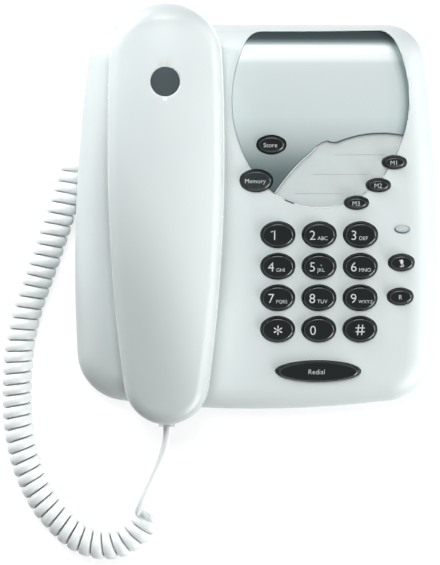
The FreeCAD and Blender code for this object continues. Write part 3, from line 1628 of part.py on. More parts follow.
def base_wires():
    """Flat leads from the sockets, the switches and the sounder up to the board."""
    thick, half = s.ribbon_thickness, s.ribbon_half_width
    riser_x = (board_left + thick, board_left + thick * 2)
    back_y = s.board_back - thick * 2
    jack_top = s.cord_z + s.plug_height / 2 + s.seat_gap + s.socket_wall
    jack_x = (jack_face_x + s.jack_depth - half, riser_x[1])
    jack_y = span(s.jack_y, half)
    line_top = s.line_socket_z + s.line_socket_height / 2 + s.socket_wall
    switch_x = s.knob_x + s.knob_travel / 2
    switch_top = s.knob_z + s.ringer_switch_half_height
    hook_v = span(switch_back_v - s.switch_length / 2, half)
    hook_w = s.switch_top - s.switch_height / 2
    hook_x = s.handset_x + s.switch_half_width
    pieces = [
        box("jack_ribbon", jack_x, jack_y, (jack_top, jack_top + thick)),
        box("jack_riser", riser_x, jack_y, (jack_top, under_board(jack_y[0]))),
        box(
            "line_ribbon",
            span(s.line_socket_x, half),
            (back_y, niche_y - s.line_socket_depth),
            (line_top, line_top + thick),
        ),
        box(
            "line_riser",
            span(s.line_socket_x, half),
            (back_y, back_y + thick),
            (line_top, under_board(back_y)),
        ),
        box(
            "switch_ribbon",
            span(switch_x, half),
            (back_y, niche_y - s.lower_wall - s.knob_length + nick),
            (switch_top, switch_top + thick),
        ),
        box(
            "switch_riser",
            span(switch_x, half),
            (back_y, back_y + thick),
            (switch_top, under_board(back_y)),
        ),
        box(
            "ringer_riser",
            span(s.ringer_x, half),
            (s.ringer_y, s.ringer_y + thick),
            (ringer_top, under_board(s.ringer_y)),
        ),
        box("hook_ribbon", (hook_x, riser_x[1]), hook_v, (hook_w, hook_w + thick), tilted=True),
        box("hook_riser", riser_x, hook_v, (hook_w, board_bottom), tilted=True),
    ]
    finish("base_wires", join("base_wire_set", *pieces), tilted=False)


def handset_wires():
    """The flat lead inside the handset, from its socket by the microphone and the arch to the receiver."""
    thick, half = s.ribbon_thickness, s.ribbon_half_width
    floor = cup_top + s.seat_gap
    reach = arch_radius + s.handset_wall
    socket_end_v = handset_jack_v + handset_socket_length
    side = s.handset_x + s.weight_half_width + s.rib_thickness + half + nick
    receiver_v = ear_v - s.receiver_wire_v
    body = new_body("lead")
    sketch = new_sketch(body, "lead_outline", side, role="YZ_Plane")
    bend = arch_half_length + s.lead_bend_gap
    lower = [(socket_end_v, floor), (arch_v - bend, floor)]
    for share in (-0.88, -0.6, -0.3, 0, 0.3, 0.6, 0.88):
        v = arch_half_length * share
        lower.append((arch_v + v, arch_centre_w + root(reach * reach - v * v) + s.fit_gap))
    lower += [(arch_v + bend, floor), (receiver_v + half, floor)]
    draw_polygon(sketch, lower + [(v, w + thick) for v, w in reversed(lower)])
    ribbon = pad(body, sketch, "lead_pad", half * 2)
    ribbon.Midplane = True
    across = (s.handset_x + s.plug_latch_width / 2, side)
    receiver_top = cup_floor + s.gasket_height + s.receiver_height
    receiver_x = span(s.handset_x + s.receiver_wire_x, thick)
    capsule_top = cup_floor + s.boot_floor + s.mic_height
    pieces = [
        box("lead_start", across, (socket_end_v, socket_end_v + thick * 2), (floor, floor + thick)),
        box("mic_branch", across, span(mic_v, thick), (floor, floor + thick)),
        box("mic_drop", (across[0], across[0] + thick), span(mic_v, thick), (capsule_top, floor)),
        box("receiver_branch", (receiver_x[0], side), span(receiver_v, half), (floor, floor + thick)),
        box("receiver_drop", receiver_x, span(receiver_v, half), (receiver_top - s.magnet_height, floor)),
    ]
    finish("handset_wires", join("handset_wire_set", body, *pieces))


# Where the coil's middle line lies on the desk, seen from above: hand-placed poles of a smooth curve, from
# beside the base's socket round the front to under the handset's end.
COIL_POLES = [
    (-86, 24),
    (-88, 17.9),
    (-93.75, 1.1),
    (-100.9, -20.5),
    (-108.1, -39.6),
    (-112.9, -58.8),
    (-114.4, -78),
    (-113.9, -102),
    (-109.1, -121.2),
    (-100.9, -138),
    (-88.95, -150.9),
    (-80, -156),
    (-72, -157.4),
    (-63.6, -155.8),
    (-56.5, -151),
    (-52, -145.5),
    (-51, -143.5),
]

# The free lead from the coil's end up to the handset's plug, between those two ends.
LEAD_POINTS = [
    (-56.2, -140.6, 16.2),
    (-55, -137.2, 19.8),
    (-53, -132.2, 22.3),
    (-50.2, -126.2, 24),
    (-47, -119.2, 25.4),
    (-44, -112, 27),
]


def spline_points(poles, per_span=24):
    """Points along the quadratic curve that these poles pull, which starts and ends on the end poles."""
    spans = len(poles) - 2
    knots = [0, 0] + list(range(spans + 1)) + [spans, spans]
    points = []
    for step in range(spans * per_span + 1):
        at = step / per_span
        k = min(int(at), spans - 1) + 2
        level = [poles[k - 2 + j] for j in range(3)]
        for r in (1, 2):
            for j in range(2, r - 1, -1):
                low, high = knots[k - 2 + j], knots[k + 1 + j - r]
                share = (at - low) / (high - low)
                level[j] = tuple(p + (q - p) * share for p, q in zip(level[j - 1], level[j]))
        points.append(level[2])
    return points


class CoilLine:
    """The helix about the coil's middle line, by its share of the way from 0 to 1."""

    def __init__(self):
        self.points = spline_points(COIL_POLES)
        self.run = [0.0]
        for (x0, y0), (x1, y1) in zip(self.points, self.points[1:]):
            self.run.append(self.run[-1] + math.hypot(x1 - x0, y1 - y0))
        self.radius = s.coil_radius.number
        self.height = (s.coil_radius + s.wire / 2 + s.coil_lift).number
        self.turns = s.coil_turns.number - 0.25

    def middle(self, share):
        """The place and the heading of the middle line."""
        target = share * self.run[-1]
        i = min(max(1, sum(1 for r in self.run if r < target)), len(self.run) - 1)
        (x0, y0), (x1, y1) = self.points[i - 1], self.points[i]
        part = (target - self.run[i - 1]) / (self.run[i] - self.run[i - 1])
        before = self.points[max(i - 2, 0)]
        after = self.points[min(i + 1, len(self.points) - 1)]
        heads = [(x1 - before[0], y1 - before[1]), (after[0] - x0, after[1] - y0)]
        head = tuple(a + (b - a) * part for a, b in zip(*heads))
        length = math.hypot(*head)
        place_of = Vector(x0 + (x1 - x0) * part, y0 + (y1 - y0) * part, self.height)
        return place_of, Vector(head[0] / length, head[1] / length, 0)

    def at(self, turn):
        """The point of the wire after so many turns: it starts on top and winds to the coil's right."""
        place_of, heading = self.middle(turn / self.turns)
        angle = 2 * math.pi * turn
        right = heading.cross(Vector(0, 0, 1))
        return place_of + (Vector(0, 0, 1) * math.cos(angle) + right * math.sin(angle)) * self.radius

    def along(self, turn):
        step = 0.002
        low, high = max(turn - step, 0), min(turn + step, self.turns)
        return (self.at(high) - self.at(low)).normalize()


def biarc(start, start_way, end, end_way):
    """Two arcs that join two points smoothly, each leaving and arriving the given way."""
    chord = end - start
    both = start_way + end_way
    spread = 2 * (1 - start_way.dot(end_way))
    across = chord.dot(both)
    reach = (-across + math.sqrt(across**2 + spread * chord.dot(chord))) / spread
    corner_a = start + start_way * reach
    corner_b = end - end_way * reach
    meet = (corner_a + corner_b) * 0.5
    return [arc_inside(start, corner_a, meet), arc_inside(meet, corner_b, end)]


def arc_inside(start, corner, end):
    """The arc that touches both legs of a corner at their ends."""
    middle = (start + end) * 0.5
    half_chord = start.distanceToPoint(end) / 2
    leg = start.distanceToPoint(corner)
    height = corner.distanceToPoint(middle)
    rise = half_chord * (leg - half_chord) / height
    return Part.Arc(start, middle + (corner - middle) * (rise / height), end).toShape()


def tube(name, edges, sides):
    """A cord along a path of runs and arcs, round or of so many flat sides."""
    path = doc.addObject("Part::Feature", name + "_path")
    path.Shape = Part.Wire(edges)
    start = edges[0].Vertexes[0].Point
    way = edges[0].tangentAt(edges[0].FirstParameter)
    if sides:
        section = doc.addObject("Part::RegularPolygon", name + "_section")
        section.Polygon = sides
        bind(section, "Circumradius", s.wire / 2)
    else:
        section = doc.addObject("Part::Circle", name + "_section")
        bind(section, "Radius", s.wire / 2)
    section.Placement = Placement(start, Rotation(Vector(0, 0, 1), way))
    sweep = doc.addObject("Part::Sweep", name + "_sweep")
    sweep.Sections = [section]
    sweep.Spine = (path, [f"Edge{i + 1}" for i in range(len(path.Shape.Edges))])
    sweep.Solid = True
    sweep.Frenet = False
    finish(name, sweep, tilted=False)
    doc.recompute()
    area = math.pi * s.wire.number**2 / 4
    if sides:
        area = sides / 8 * s.wire.number**2 * math.sin(2 * math.pi / sides)
    length = path.Shape.Length
    print(f"{name}: length {length:.1f}, volume {sweep.Shape.Volume:.1f} of {area * length:.1f}")
    return sweep


def rounded_path(name, points):
    """Straight runs through the points with an arc at each, as large as its two runs allow."""
    edges = []
    radii = []
    at = points[0]
    for before, corner, after in zip(points, points[1:], points[2:]):
        legs = [(before - corner), (after - corner)]
        turn = math.pi - legs[0].getAngle(legs[1])
        back = 0.45 * min(leg.Length for leg in legs)
        radii.append(back / math.tan(turn / 2))
        ends = [corner + leg.normalize() * back for leg in legs]
        edges.append(Part.LineSegment(at, ends[0]).toShape())
        edges.append(arc_inside(ends[0], corner, ends[1]))
        at = ends[1]
    edges.append(Part.LineSegment(at, points[-1]).toShape())
    print(f"{name}: radii " + ", ".join(f"{radius:.1f}" for radius in radii))
    return edges


def cords():
    """The cord from the base's plug: a short lead, the coil, and the lead up to the handset's plug."""
    wire = s.wire.number
    plug_rear = Vector(base_plug_x.number, s.jack_y.number, s.cord_z.number)
    coil = CoilLine()
    top = coil.at(0)
    lead_end = Vector(top.x + wire, top.y, top.z)
    tube("cord_base_lead", [Part.LineSegment(plug_rear, lead_end).toShape()], 0)
    count = int(coil.turns * 2)
    stops = [i / 2 for i in range(count + 1)] + [coil.turns]
    ways = [coil.along(stop) for stop in stops]
    ways[0] = Vector(-1, 0, 0)
    ways[-1] = Vector(0, 0, 1)
    edges = [Part.LineSegment(lead_end, top).toShape()]
    for i in range(len(stops) - 1):
        edges += biarc(coil.at(stops[i]), ways[i], coil.at(stops[i + 1]), ways[i + 1])
    bottom = coil.at(coil.turns)
    coil_end = bottom + Vector(0, 0, wire)
    edges.append(Part.LineSegment(bottom, coil_end).toShape())
    tube("curly_cord", edges, 4)
    print(f"curly_cord: least gap to itself {least_gap(edges):.2f}, pitch {coil.run[-1] / coil.turns:.2f}")
    tilt = math.radians(s.tilt.number)
    v, w = handset_plug_v.number, s.handset_plug_w.number
    plug_end = Vector(
        s.handset_x.number,
        v * math.cos(tilt) - w * math.sin(tilt),
        s.face_height.number + v * math.sin(tilt) + w * math.cos(tilt),
    )
    before = plug_end - Vector(0, math.cos(tilt), math.sin(tilt)) * (wire * 2)
    points = [coil_end] + [Vector(*p) for p in LEAD_POINTS] + [before, plug_end]
    tube("cord_handset_lead", rounded_path("cord_handset_lead", points), 6)


def least_gap(edges):
    """The least space between the wire and its own turns, measured on points a millimetre or so apart."""
    points = []
    for edge in edges:
        points += edge.discretize(max(2, int(edge.Length / 0.9)))[:-1]
    turn = int(2 * math.pi * s.coil_radius.number / 0.9)
    least = math.inf
    for i, point in enumerate(points):
        for other in points[i + turn // 2 : i + turn * 5 // 2]:
            least = min(least, point.distanceToPoint(other))
    return least - s.wire.number


holes = key_holes()
upper_housing(holes)
fascia(holes)
index_window(holes)
for entry in keys:
    key(*entry)
keypad()
main_board()
lamp()
lower_housing()
rubber_feet()
case_screw_set()
hook()
rear_sockets()
base_jack()
handset_back()
handset_front()
handset_inside()
plug("cord_base_plug", base_plug_x, s.jack_y, s.cord_z, "x", -1, tilted=False)
plug("cord_handset_plug", s.handset_x, handset_plug_v, s.handset_plug_w, "v", 1, tilted=True)

base_wires()
handset_wires()
cords()

doc.recompute()
for thing in doc.Objects:
    if "Invalid" in thing.State or "Error" in thing.State:
        raise RuntimeError(f"{thing.Name} did not build: {thing.State}")
for made in sub_parts:
    if made.Shape.isNull() or not made.Shape.isValid() or not made.Shape.Solids:
        raise RuntimeError(f"{made.Label} is not a sound solid")
os.makedirs("parts", exist_ok=True)
for made in sub_parts:
    made.Shape.exportStep(f"parts/{made.Label}.step")
print(f"{len(sub_parts)} sub-parts written")
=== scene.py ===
# %% [markdown]
# # A corded desk telephone
#
# The photograph looks straight down on a small push-button telephone: a pale base whose face slopes up to the
# back, a handset in its cradle on the left, a silver panel with an index card, twenty dark oval keys, and a
# coiled cord that runs round the left side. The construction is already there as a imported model. This lesson
# gives it its looks: a finish for every piece, and new meshes where a finer form pays off.

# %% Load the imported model
import math

import bmesh
import bpy
from mathutils import Matrix, Vector, noise
from mathutils.bvhtree import BVHTree


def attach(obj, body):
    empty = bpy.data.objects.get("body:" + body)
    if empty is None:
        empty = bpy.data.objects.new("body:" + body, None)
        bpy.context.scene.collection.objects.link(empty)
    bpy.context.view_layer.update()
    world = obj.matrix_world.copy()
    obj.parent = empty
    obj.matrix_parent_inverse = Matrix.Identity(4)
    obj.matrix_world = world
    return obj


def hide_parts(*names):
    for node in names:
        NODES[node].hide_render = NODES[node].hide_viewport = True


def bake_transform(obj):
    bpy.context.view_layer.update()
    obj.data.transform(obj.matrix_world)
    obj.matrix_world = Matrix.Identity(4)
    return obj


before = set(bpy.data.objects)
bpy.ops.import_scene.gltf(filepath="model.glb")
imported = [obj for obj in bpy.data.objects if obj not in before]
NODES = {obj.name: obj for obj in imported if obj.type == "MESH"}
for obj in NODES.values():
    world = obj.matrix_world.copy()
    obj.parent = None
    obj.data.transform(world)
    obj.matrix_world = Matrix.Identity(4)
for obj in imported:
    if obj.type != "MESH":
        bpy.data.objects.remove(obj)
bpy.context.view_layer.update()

# %% [markdown]
# Lengths in this lesson are written in millimetres, as on a drawing, and a factor turns them into Blender's
# metres. Most pieces sit on the base's face, a plane tilted by 7 degrees about X, so a point of the face is
# given as x across, v up the slope and w square out of it. One matrix puts such a piece in its place.

# %% Millimetres and the sloping face
MM = 0.001
SLOPE = math.radians(7)
FACE_HEIGHT = 33
FACE = Matrix.Translation((0, 0, FACE_HEIGHT * MM)) @ Matrix.Rotation(SLOPE, 4, "X") @ Matrix.Scale(MM, 4)
print("middle of the face:", FACE @ Vector((0, 0, 0)))

# %% [markdown]
# ## The camera
#
# The photograph was taken from right above with a long lens: no side of the base shows, and the raised
# handset is hardly larger than its outline. A camera 1.2 m up with a lens of about 158 mm gives that. Its
# place comes from the scale of 0.4825 mm in each pixel of the picture at desk level.

# %% The camera
lens = bpy.data.cameras.new("camera")
lens.lens = 158.46
lens.sensor_width = 36
lens.clip_start, lens.clip_end = 0.05, 20
camera = bpy.data.objects.new("camera", lens)
camera.location = (-0.017, -0.03125, 1.2)
bpy.context.scene.collection.objects.link(camera)
bpy.context.scene.camera = camera
print("camera at", camera.location, "with a lens of", round(lens.lens, 2), "mm")

# %% [markdown]
# ## The studio
#
# The telephone stands on a plain white floor. Its shadow has to stay visible, so the floor is a normal
# diffuse white that looks brighter than it is lit: Light Path's Is Camera Ray adds a glow for the eye and
# none for the object. A glossy ray and a ray through clear plastic see the glow too, so a shiny key mirrors
# a white room, as it does in a tent. Light Path has one output for each kind of ray, and the largest of them
# tells whether a ray is of any of the three kinds.

# %% A new material, and a test for rays
WHITE_RAYS = ("Is Camera Ray", "Is Glossy Ray", "Is Transmission Ray")


def new_material(name):
    """An empty material, with its nodes, its links and its shader at hand."""
    made = bpy.data.materials.new(name)
    made.use_nodes = True
    tree = made.node_tree
    return made, tree.nodes, tree.links, tree.nodes["Principled BSDF"]


def any_of(nodes, links, ray, kinds):
    """One for a ray of any of the kinds, and nothing for the others."""
    total = ray.outputs[kinds[0]]
    for kind in kinds[1:]:
        largest = nodes.new("ShaderNodeMath")
        largest.operation = "MAXIMUM"
        links.new(total, largest.inputs[0])
        links.new(ray.outputs[kind], largest.inputs[1])
        total = largest.outputs[0]
    return total


print("rays that see white:", ", ".join(WHITE_RAYS))

# %% [markdown]
# The floor itself is one round face. It lies a twentieth of a millimetre low, so that the feet's soles and
# the floor don't share a plane.

# %% Floor
FLOOR_RADIUS = 3
FLOOR_DROP = 0.05 * MM
FLOOR_GLOW = 0.72

bm = bmesh.new()
bmesh.ops.create_circle(bm, cap_ends=True, segments=64, radius=FLOOR_RADIUS)
mesh = bpy.data.meshes.new("floor")
bm.to_mesh(mesh)
bm.free()
mesh.transform(Matrix.Translation((0, 0, -FLOOR_DROP)))
floor = bpy.data.objects.new("floor", mesh)
bpy.context.scene.collection.objects.link(floor)

white, nodes, links, shader = new_material("white_floor")
shader.inputs["Base Color"].default_value = (0.55, 0.56, 0.56, 1)
shader.inputs["Roughness"].default_value = 0.9
shader.inputs["Specular IOR Level"].default_value = 0
glow = nodes.new("ShaderNodeEmission")
ray = nodes.new("ShaderNodeLightPath")
seen = nodes.new("ShaderNodeMath")
seen.operation = "MULTIPLY"
seen.inputs[1].default_value = FLOOR_GLOW
both = nodes.new("ShaderNodeAddShader")
links.new(any_of(nodes, links, ray, WHITE_RAYS), seen.inputs[0])
links.new(seen.outputs[0], glow.inputs["Strength"])
links.new(shader.outputs[0], both.inputs[0])
links.new(glow.outputs[0], both.inputs[1])
links.new(both.outputs[0], nodes["Material Output"].inputs["Surface"])
floor.data.materials.append(white)
print("floor:", FLOOR_RADIUS, "m in radius")

# %% [markdown]
# The world is made the same way: dim for plain light, so that the lamps give the shading, and white for the
# same three kinds of rays as the floor's glow.

# %% World
world = bpy.data.worlds.new("studio")
bpy.context.scene.world = world
world.use_nodes = True
nodes, links = world.node_tree.nodes, world.node_tree.links
sky = nodes["Background"]
sky.inputs["Color"].default_value = (0.94, 0.97, 1, 1)
sky.inputs["Strength"].default_value = 0.05
backdrop = nodes.new("ShaderNodeBackground")
ray = nodes.new("ShaderNodeLightPath")
pick = nodes.new("ShaderNodeMixShader")
links.new(any_of(nodes, links, ray, WHITE_RAYS), pick.inputs["Fac"])
links.new(sky.outputs[0], pick.inputs[1])
links.new(backdrop.outputs[0], pick.inputs[2])
links.new(pick.outputs[0], nodes["World Output"].inputs["Surface"])
backdrop.inputs["Color"].default_value = (1, 1, 1, 1)
bpy.context.scene.view_settings.view_transform = "Standard"
print("world:", world.name)

# %% [markdown]
# The photograph has the look of a light tent: soft light comes in low from nearly every side, so whatever
# slopes outward is brighter than what faces the camera. Its walls are not equal, though. The keys throw
# short shadows to their left, and the front left is the dark corner. Six wide lamps stand for the tent: low
# ones at the right, the front right and the back left, weak ones at the left and behind, and one overhead.

# %% Lamps
LAMP_SIDE = 0.6


def lamp(name, place, power, colour=(1, 1, 1)):
    """A square area lamp that faces the telephone."""
    light = bpy.data.lights.new(name, "AREA")
    light.energy = power
    light.size = LAMP_SIDE
    light.color = colour
    made = bpy.data.objects.new(name, light)
    made.location = place
    made.rotation_euler = (-Vector(place)).to_track_quat("-Z", "Y").to_euler()
    bpy.context.scene.collection.objects.link(made)


def around(turn, rise, reach=1.1):
    """A place so many degrees round from the right, and so many above the floor."""
    level, up = math.radians(turn), math.radians(rise)
    return (
        reach * math.cos(up) * math.cos(level),
        reach * math.cos(up) * math.sin(level),
        reach * math.sin(up),
    )


lamp("right_wall", around(0, 12), 4.6)
lamp("front_right_wall", around(-45, 14), 8.4)
lamp("back_left_wall", around(135, 12), 10, (0.97, 0.99, 1))
lamp("left_wall", around(180, 16), 0.7)
lamp("back_wall", around(90, 45), 2.8)
lamp("roof", (-0.1, 0.6, 1.35), 11, (0.98, 0.99, 1))
print("lamps:", len(bpy.data.lights))

# %% [markdown]
# ## Finishes
#
# A finish is easiest to match when its colour is written as a paint program shows it, so one helper turns
# such a colour into light. Two more do what nearly every finish needs: noise on the piece's own coordinates,
# and that noise spread between two numbers.

# %% Colours and noise
def shade(red, green, blue):
    """A colour as a paint program writes it, from 0 to 255, turned into light."""
    light = [((c / 255 + 0.055) / 1.055) ** 2.4 if c > 10 else c / 3295 for c in (red, green, blue)]
    return (*light, 1)


def noise_from(nodes, links, place, scale, detail=2):
    """A noise texture on the piece's own coordinates, in waves per metre."""
    made = nodes.new("ShaderNodeTexNoise")
    made.inputs["Scale"].default_value = scale
    made.inputs["Detail"].default_value = detail
    links.new(place.outputs["Object"], made.inputs["Vector"])
    return made


def between(nodes, links, source, low, high):
    """Spreads a noise value between two numbers."""
    made = nodes.new("ShaderNodeMapRange")
    made.inputs["From Min"].default_value = 0.3
    made.inputs["From Max"].default_value = 0.7
    made.inputs["To Min"].default_value = low
    made.inputs["To Max"].default_value = high
    links.new(source, made.inputs["Value"])
    return made.outputs["Result"]


print("middle grey as light:", round(shade(128, 128, 128)[0], 3))

# %% [markdown]
# Nearly everything here is moulded plastic. Real mouldings are never one flat colour: the surface has a fine
# grain from the spark-eroded mould, a very slow drift in tone, and a gloss that is a little uneven. Three
# noise textures on Object coordinates give the three, so the grain stays on the piece from every side. What
# is the same all over, such as the index of refraction, is set on the shader itself.

# %% Moulded plastic
def plastic(name, colour, gloss, grain=0.03, grain_size=0.35, drift=0.03, index=1.5):
    """Moulded plastic: colour from 0 to 255, gloss as roughness, grain in depth and in millimetres."""
    made, nodes, links, shader = new_material(name)
    place = nodes.new("ShaderNodeTexCoord")
    slow = noise_from(nodes, links, place, 14)
    tone = nodes.new("ShaderNodeMix")
    tone.data_type = "RGBA"
    base = shade(*colour)
    tone.inputs["A"].default_value = tuple(c * (1 - drift) for c in base[:3]) + (1,)
    tone.inputs["B"].default_value = tuple(min(c * (1 + drift), 1) for c in base[:3]) + (1,)
    links.new(between(nodes, links, slow.outputs["Fac"], 0, 1), tone.inputs["Factor"])
    links.new(tone.outputs["Result"], shader.inputs["Base Color"])
    uneven = noise_from(nodes, links, place, 160, 4)
    roughness = between(nodes, links, uneven.outputs["Fac"], gloss - 0.04, gloss + 0.04)
    links.new(roughness, shader.inputs["Roughness"])
    fine = noise_from(nodes, links, place, 1 / (grain_size * MM), 3)
    bump = nodes.new("ShaderNodeBump")
    bump.inputs["Strength"].default_value = 1
    bump.inputs["Distance"].default_value = grain * MM
    links.new(fine.outputs["Fac"], bump.inputs["Height"])
    links.new(bump.outputs["Normal"], shader.inputs["Normal"])
    shader.inputs["IOR"].default_value = index
    return made


# %% [markdown]
# The base is a little duller than the handset, which hands keep smooth. The cord's soft sheath lets some
# light in, so it also scatters light under its surface. The keys are nearly black, and a low index keeps them
# so, because they mirror a white room.

# %% The plastics of the outer pieces
SHELL = plastic("pale_shell", (222, 230, 229), 0.42)
HANDSET = plastic("pale_handset", (222, 230, 229), 0.34, grain=0.012)
SHEATH = plastic("cord_sheath", (243, 248, 247), 0.34, grain=0.006, grain_size=0.5)
soft = SHEATH.node_tree.nodes["Principled BSDF"]
soft.inputs["Subsurface Weight"].default_value = 0.6
soft.inputs["Subsurface Radius"].default_value = (1, 1, 1)
soft.inputs["Subsurface Scale"].default_value = 1.6 * MM
BLACK = plastic("key_black", (11, 18, 20), 0.24, grain=0.008, drift=0.08, index=1.31)
GREY = plastic("key_grey", (29, 38, 39), 0.28, grain=0.01, index=1.36)
SOCKET = plastic("socket_black", (20, 20, 21), 0.45)
print("plastics:", [m.name for m in (SHELL, HANDSET, SHEATH, BLACK, GREY, SOCKET)])

# %% [markdown]
# The handset's colour carries painted shade along its left flank, towards the speaking end, where the light
# falls off. A straight ramp over the piece, from its middle out to that flank, multiplies its colour. Its ear
# end gets painted shade too, and so do the base's front left corner, beside the cord, and its back edge.

# %% Painted shade
def painted_shade(made, start, end, share):
    """Paints shade into a plastic's colour along a straight way over the piece, from two points in millimetres.
    """
    tree = made.node_tree
    nodes, links = tree.nodes, tree.links
    shader = nodes["Principled BSDF"]
    plain = shader.inputs["Base Color"].links[0].from_socket
    way = Vector(end) - Vector(start)
    place = nodes.new("ShaderNodeTexCoord")
    along = nodes.new("ShaderNodeVectorMath")
    along.operation = "DOT_PRODUCT"
    along.inputs[1].default_value = (*(way / way.length_squared), 0)
    links.new(place.outputs["Object"], along.inputs[0])
    fit = nodes.new("ShaderNodeMapRange")
    fit.interpolation_type = "SMOOTHSTEP"
    first = Vector(start).dot(way) / way.length_squared * MM
    fit.inputs["From Min"].default_value = first
    fit.inputs["From Max"].default_value = first + MM
    fit.inputs["To Min"].default_value = 1
    fit.inputs["To Max"].default_value = share
    links.new(along.outputs["Value"], fit.inputs["Value"])
    darker = nodes.new("ShaderNodeVectorMath")
    darker.operation = "SCALE"
    links.new(plain, darker.inputs[0])
    links.new(fit.outputs["Result"], darker.inputs["Scale"])
    links.new(darker.outputs["Vector"], shader.inputs["Base Color"])


# Painted shade: the handset darker towards its left flank and its ear end, the base towards its front left
# corner and its back edge.
painted_shade(HANDSET, (-32, -14), (-65.5, -28.7), 0.76)
painted_shade(HANDSET, (0, 82), (0, 96), 0.72)
painted_shade(SHELL, (-60, -32), (-88, -62), 0.84)
painted_shade(SHELL, (0, 74), (0, 90), 0.74)
print("dulled:", HANDSET.name, SHELL.name)

# %% [markdown]
# ## The coiled cord
#
# The cord is one flexible lead with three parts: a short straight piece out of the base's socket, a coil of
# 44 turns that lies on the desk in a long bow round the front left corner, and a free end that climbs to the
# handset. A spring is easily made straight: spin turns the lead's section about an axis and steps along it
# at the same time. Bending it afterwards is one move of each vertex, because a point that lies so far along
# the straight axis and so far beside it has the same place beside the bow.

# %% The bow that the coil follows
COIL_ROUTE = [
    (-86, 24), (-88, 17.9), (-93.75, 1.1), (-100.9, -20.5), (-108.1, -39.6), (-112.9, -58.8), (-114.4, -78),
    (-113.9, -102), (-109.1, -121.2), (-100.9, -138), (-88.95, -150.9), (-80, -156), (-72, -157.4),
    (-63.6, -155.8), (-56.5, -151), (-52, -145.5), (-51, -143.5),
]
COIL_HEIGHT = 7.3


def smooth_route(name, points):
    """Points along the smooth curve that a few given ones pull, in millimetres."""
    curve = bpy.data.curves.new(name, "CURVE")
    curve.dimensions = "3D"
    spline = curve.splines.new("NURBS")
    spline.points.add(len(points) - 1)
    for knot, point in zip(spline.points, points):
        knot.co = (*point, 1)
    spline.order_u = 3
    spline.use_endpoint_u = True
    spline.resolution_u = 24
    holder = bpy.data.objects.new(name, curve)
    line = bpy.data.meshes.new_from_object(holder)
    found = [vertex.co.copy() for vertex in line.vertices]
    bpy.data.objects.remove(holder)
    bpy.data.meshes.remove(line)
    return found


middle_line = smooth_route("coil_route", [(x, y, COIL_HEIGHT) for x, y in COIL_ROUTE])
run = [0.0]
for before, after in zip(middle_line, middle_line[1:]):
    run.append(run[-1] + (after - before).length)
print(f"the bow is {run[-1]:.0f} mm long")

# %% [markdown]
# The lead is flat with rounded sides. Its section starts as a circle of radius 1, and raising each coordinate
# to a power below 1 squares it a little before it is stretched to the lead's width and thickness.

# %% A straight spring, made by spinning the lead's section
TURNS = 43.75
STEPS_PER_TURN = 24
COIL_RADIUS = 5.75
LEAD_WIDTH, LEAD_THICKNESS = 4.7, 2.9
SECTION_POINTS = 12
SQUARED = 0.8
pitch = run[-1] / TURNS

bm = bmesh.new()
section = bmesh.ops.create_circle(bm, segments=SECTION_POINTS, radius=1)["verts"]
for vertex in section:
    x, y = vertex.co.x, vertex.co.y
    vertex.co = (
        math.copysign(abs(x) ** SQUARED, x) * LEAD_WIDTH / 2,
        0,
        math.copysign(abs(y) ** SQUARED, y) * LEAD_THICKNESS / 2 + COIL_RADIUS,
    )
steps = round(TURNS * STEPS_PER_TURN)
last = bmesh.ops.spin(
    bm,
    geom=bm.verts[:] + bm.edges[:],
    cent=(0, 0, 0),
    axis=(1, 0, 0),
    dvec=(pitch / STEPS_PER_TURN, 0, 0),
    angle=math.tau * TURNS,
    steps=steps,
    use_merge=False,
)["geom_last"]
print("spring:", len(bm.verts), "vertices in", steps, "steps")

# %% [markdown]
# To bend the spring, each vertex's place along the axis picks a point and a heading on the bow. A little slow
# noise is added to the spacing and to the width of the turns, because a used cord is never as even as a
# machine part. It fades out over the last millimetres, where the free ends join on.

# %% Bend the spring along the bow
FADE = 12
UNEVEN_SPACING, UNEVEN_WIDTH = 0.55, 0.02


def on_bow(along):
    """The place and the heading of the bow so many millimetres from its start."""
    i = 1
    while i < len(run) - 1 and run[i] < along:
        i += 1
    share = (along - run[i - 1]) / (run[i] - run[i - 1])
    before, after = middle_line[i - 1], middle_line[i]
    back, ahead = middle_line[max(i - 2, 0)], middle_line[min(i + 1, len(run) - 1)]
    heading = (after - back).normalized().lerp((ahead - before).normalized(), share).normalized()
    return before.lerp(after, share), heading


def bent(point):
    """Where a point beside the straight axis goes beside the bow."""
    ease = min(max(point.x / FADE, 0), 1) * min(max((run[-1] - point.x) / FADE, 0), 1)
    along = point.x + UNEVEN_SPACING * ease * noise.noise((point.x / 11, 3.1, 0))
    place, heading = on_bow(along)
    left = Vector((0, 0, 1)).cross(heading)
    loose = 1 + UNEVEN_WIDTH * ease * noise.noise((point.x / 7, 0, 5.7))
    return place + left * point.y * loose + Vector((0, 0, 1)) * point.z


centre_line = []
for step in range(steps + 1):
    turn = math.tau * step / STEPS_PER_TURN
    aside, above = -COIL_RADIUS * math.sin(turn), COIL_RADIUS * math.cos(turn)
    centre_line.append(bent(Vector((pitch * step / STEPS_PER_TURN, aside, above))))
for vertex in bm.verts:
    vertex.co = bent(vertex.co)
print("coil runs from", centre_line[0].to_tuple(1), "to", centre_line[-1].to_tuple(1))

# %% [markdown]
# The two free ends grow from the spring's end rings. Each step extrudes the ring's edges, moves the new ring
# to the next point of the route and turns it by as much as the route turns, so the flat lead does not twist.
# On the way to the handset it is turned a little more with each step, to arrive flat at the plug.

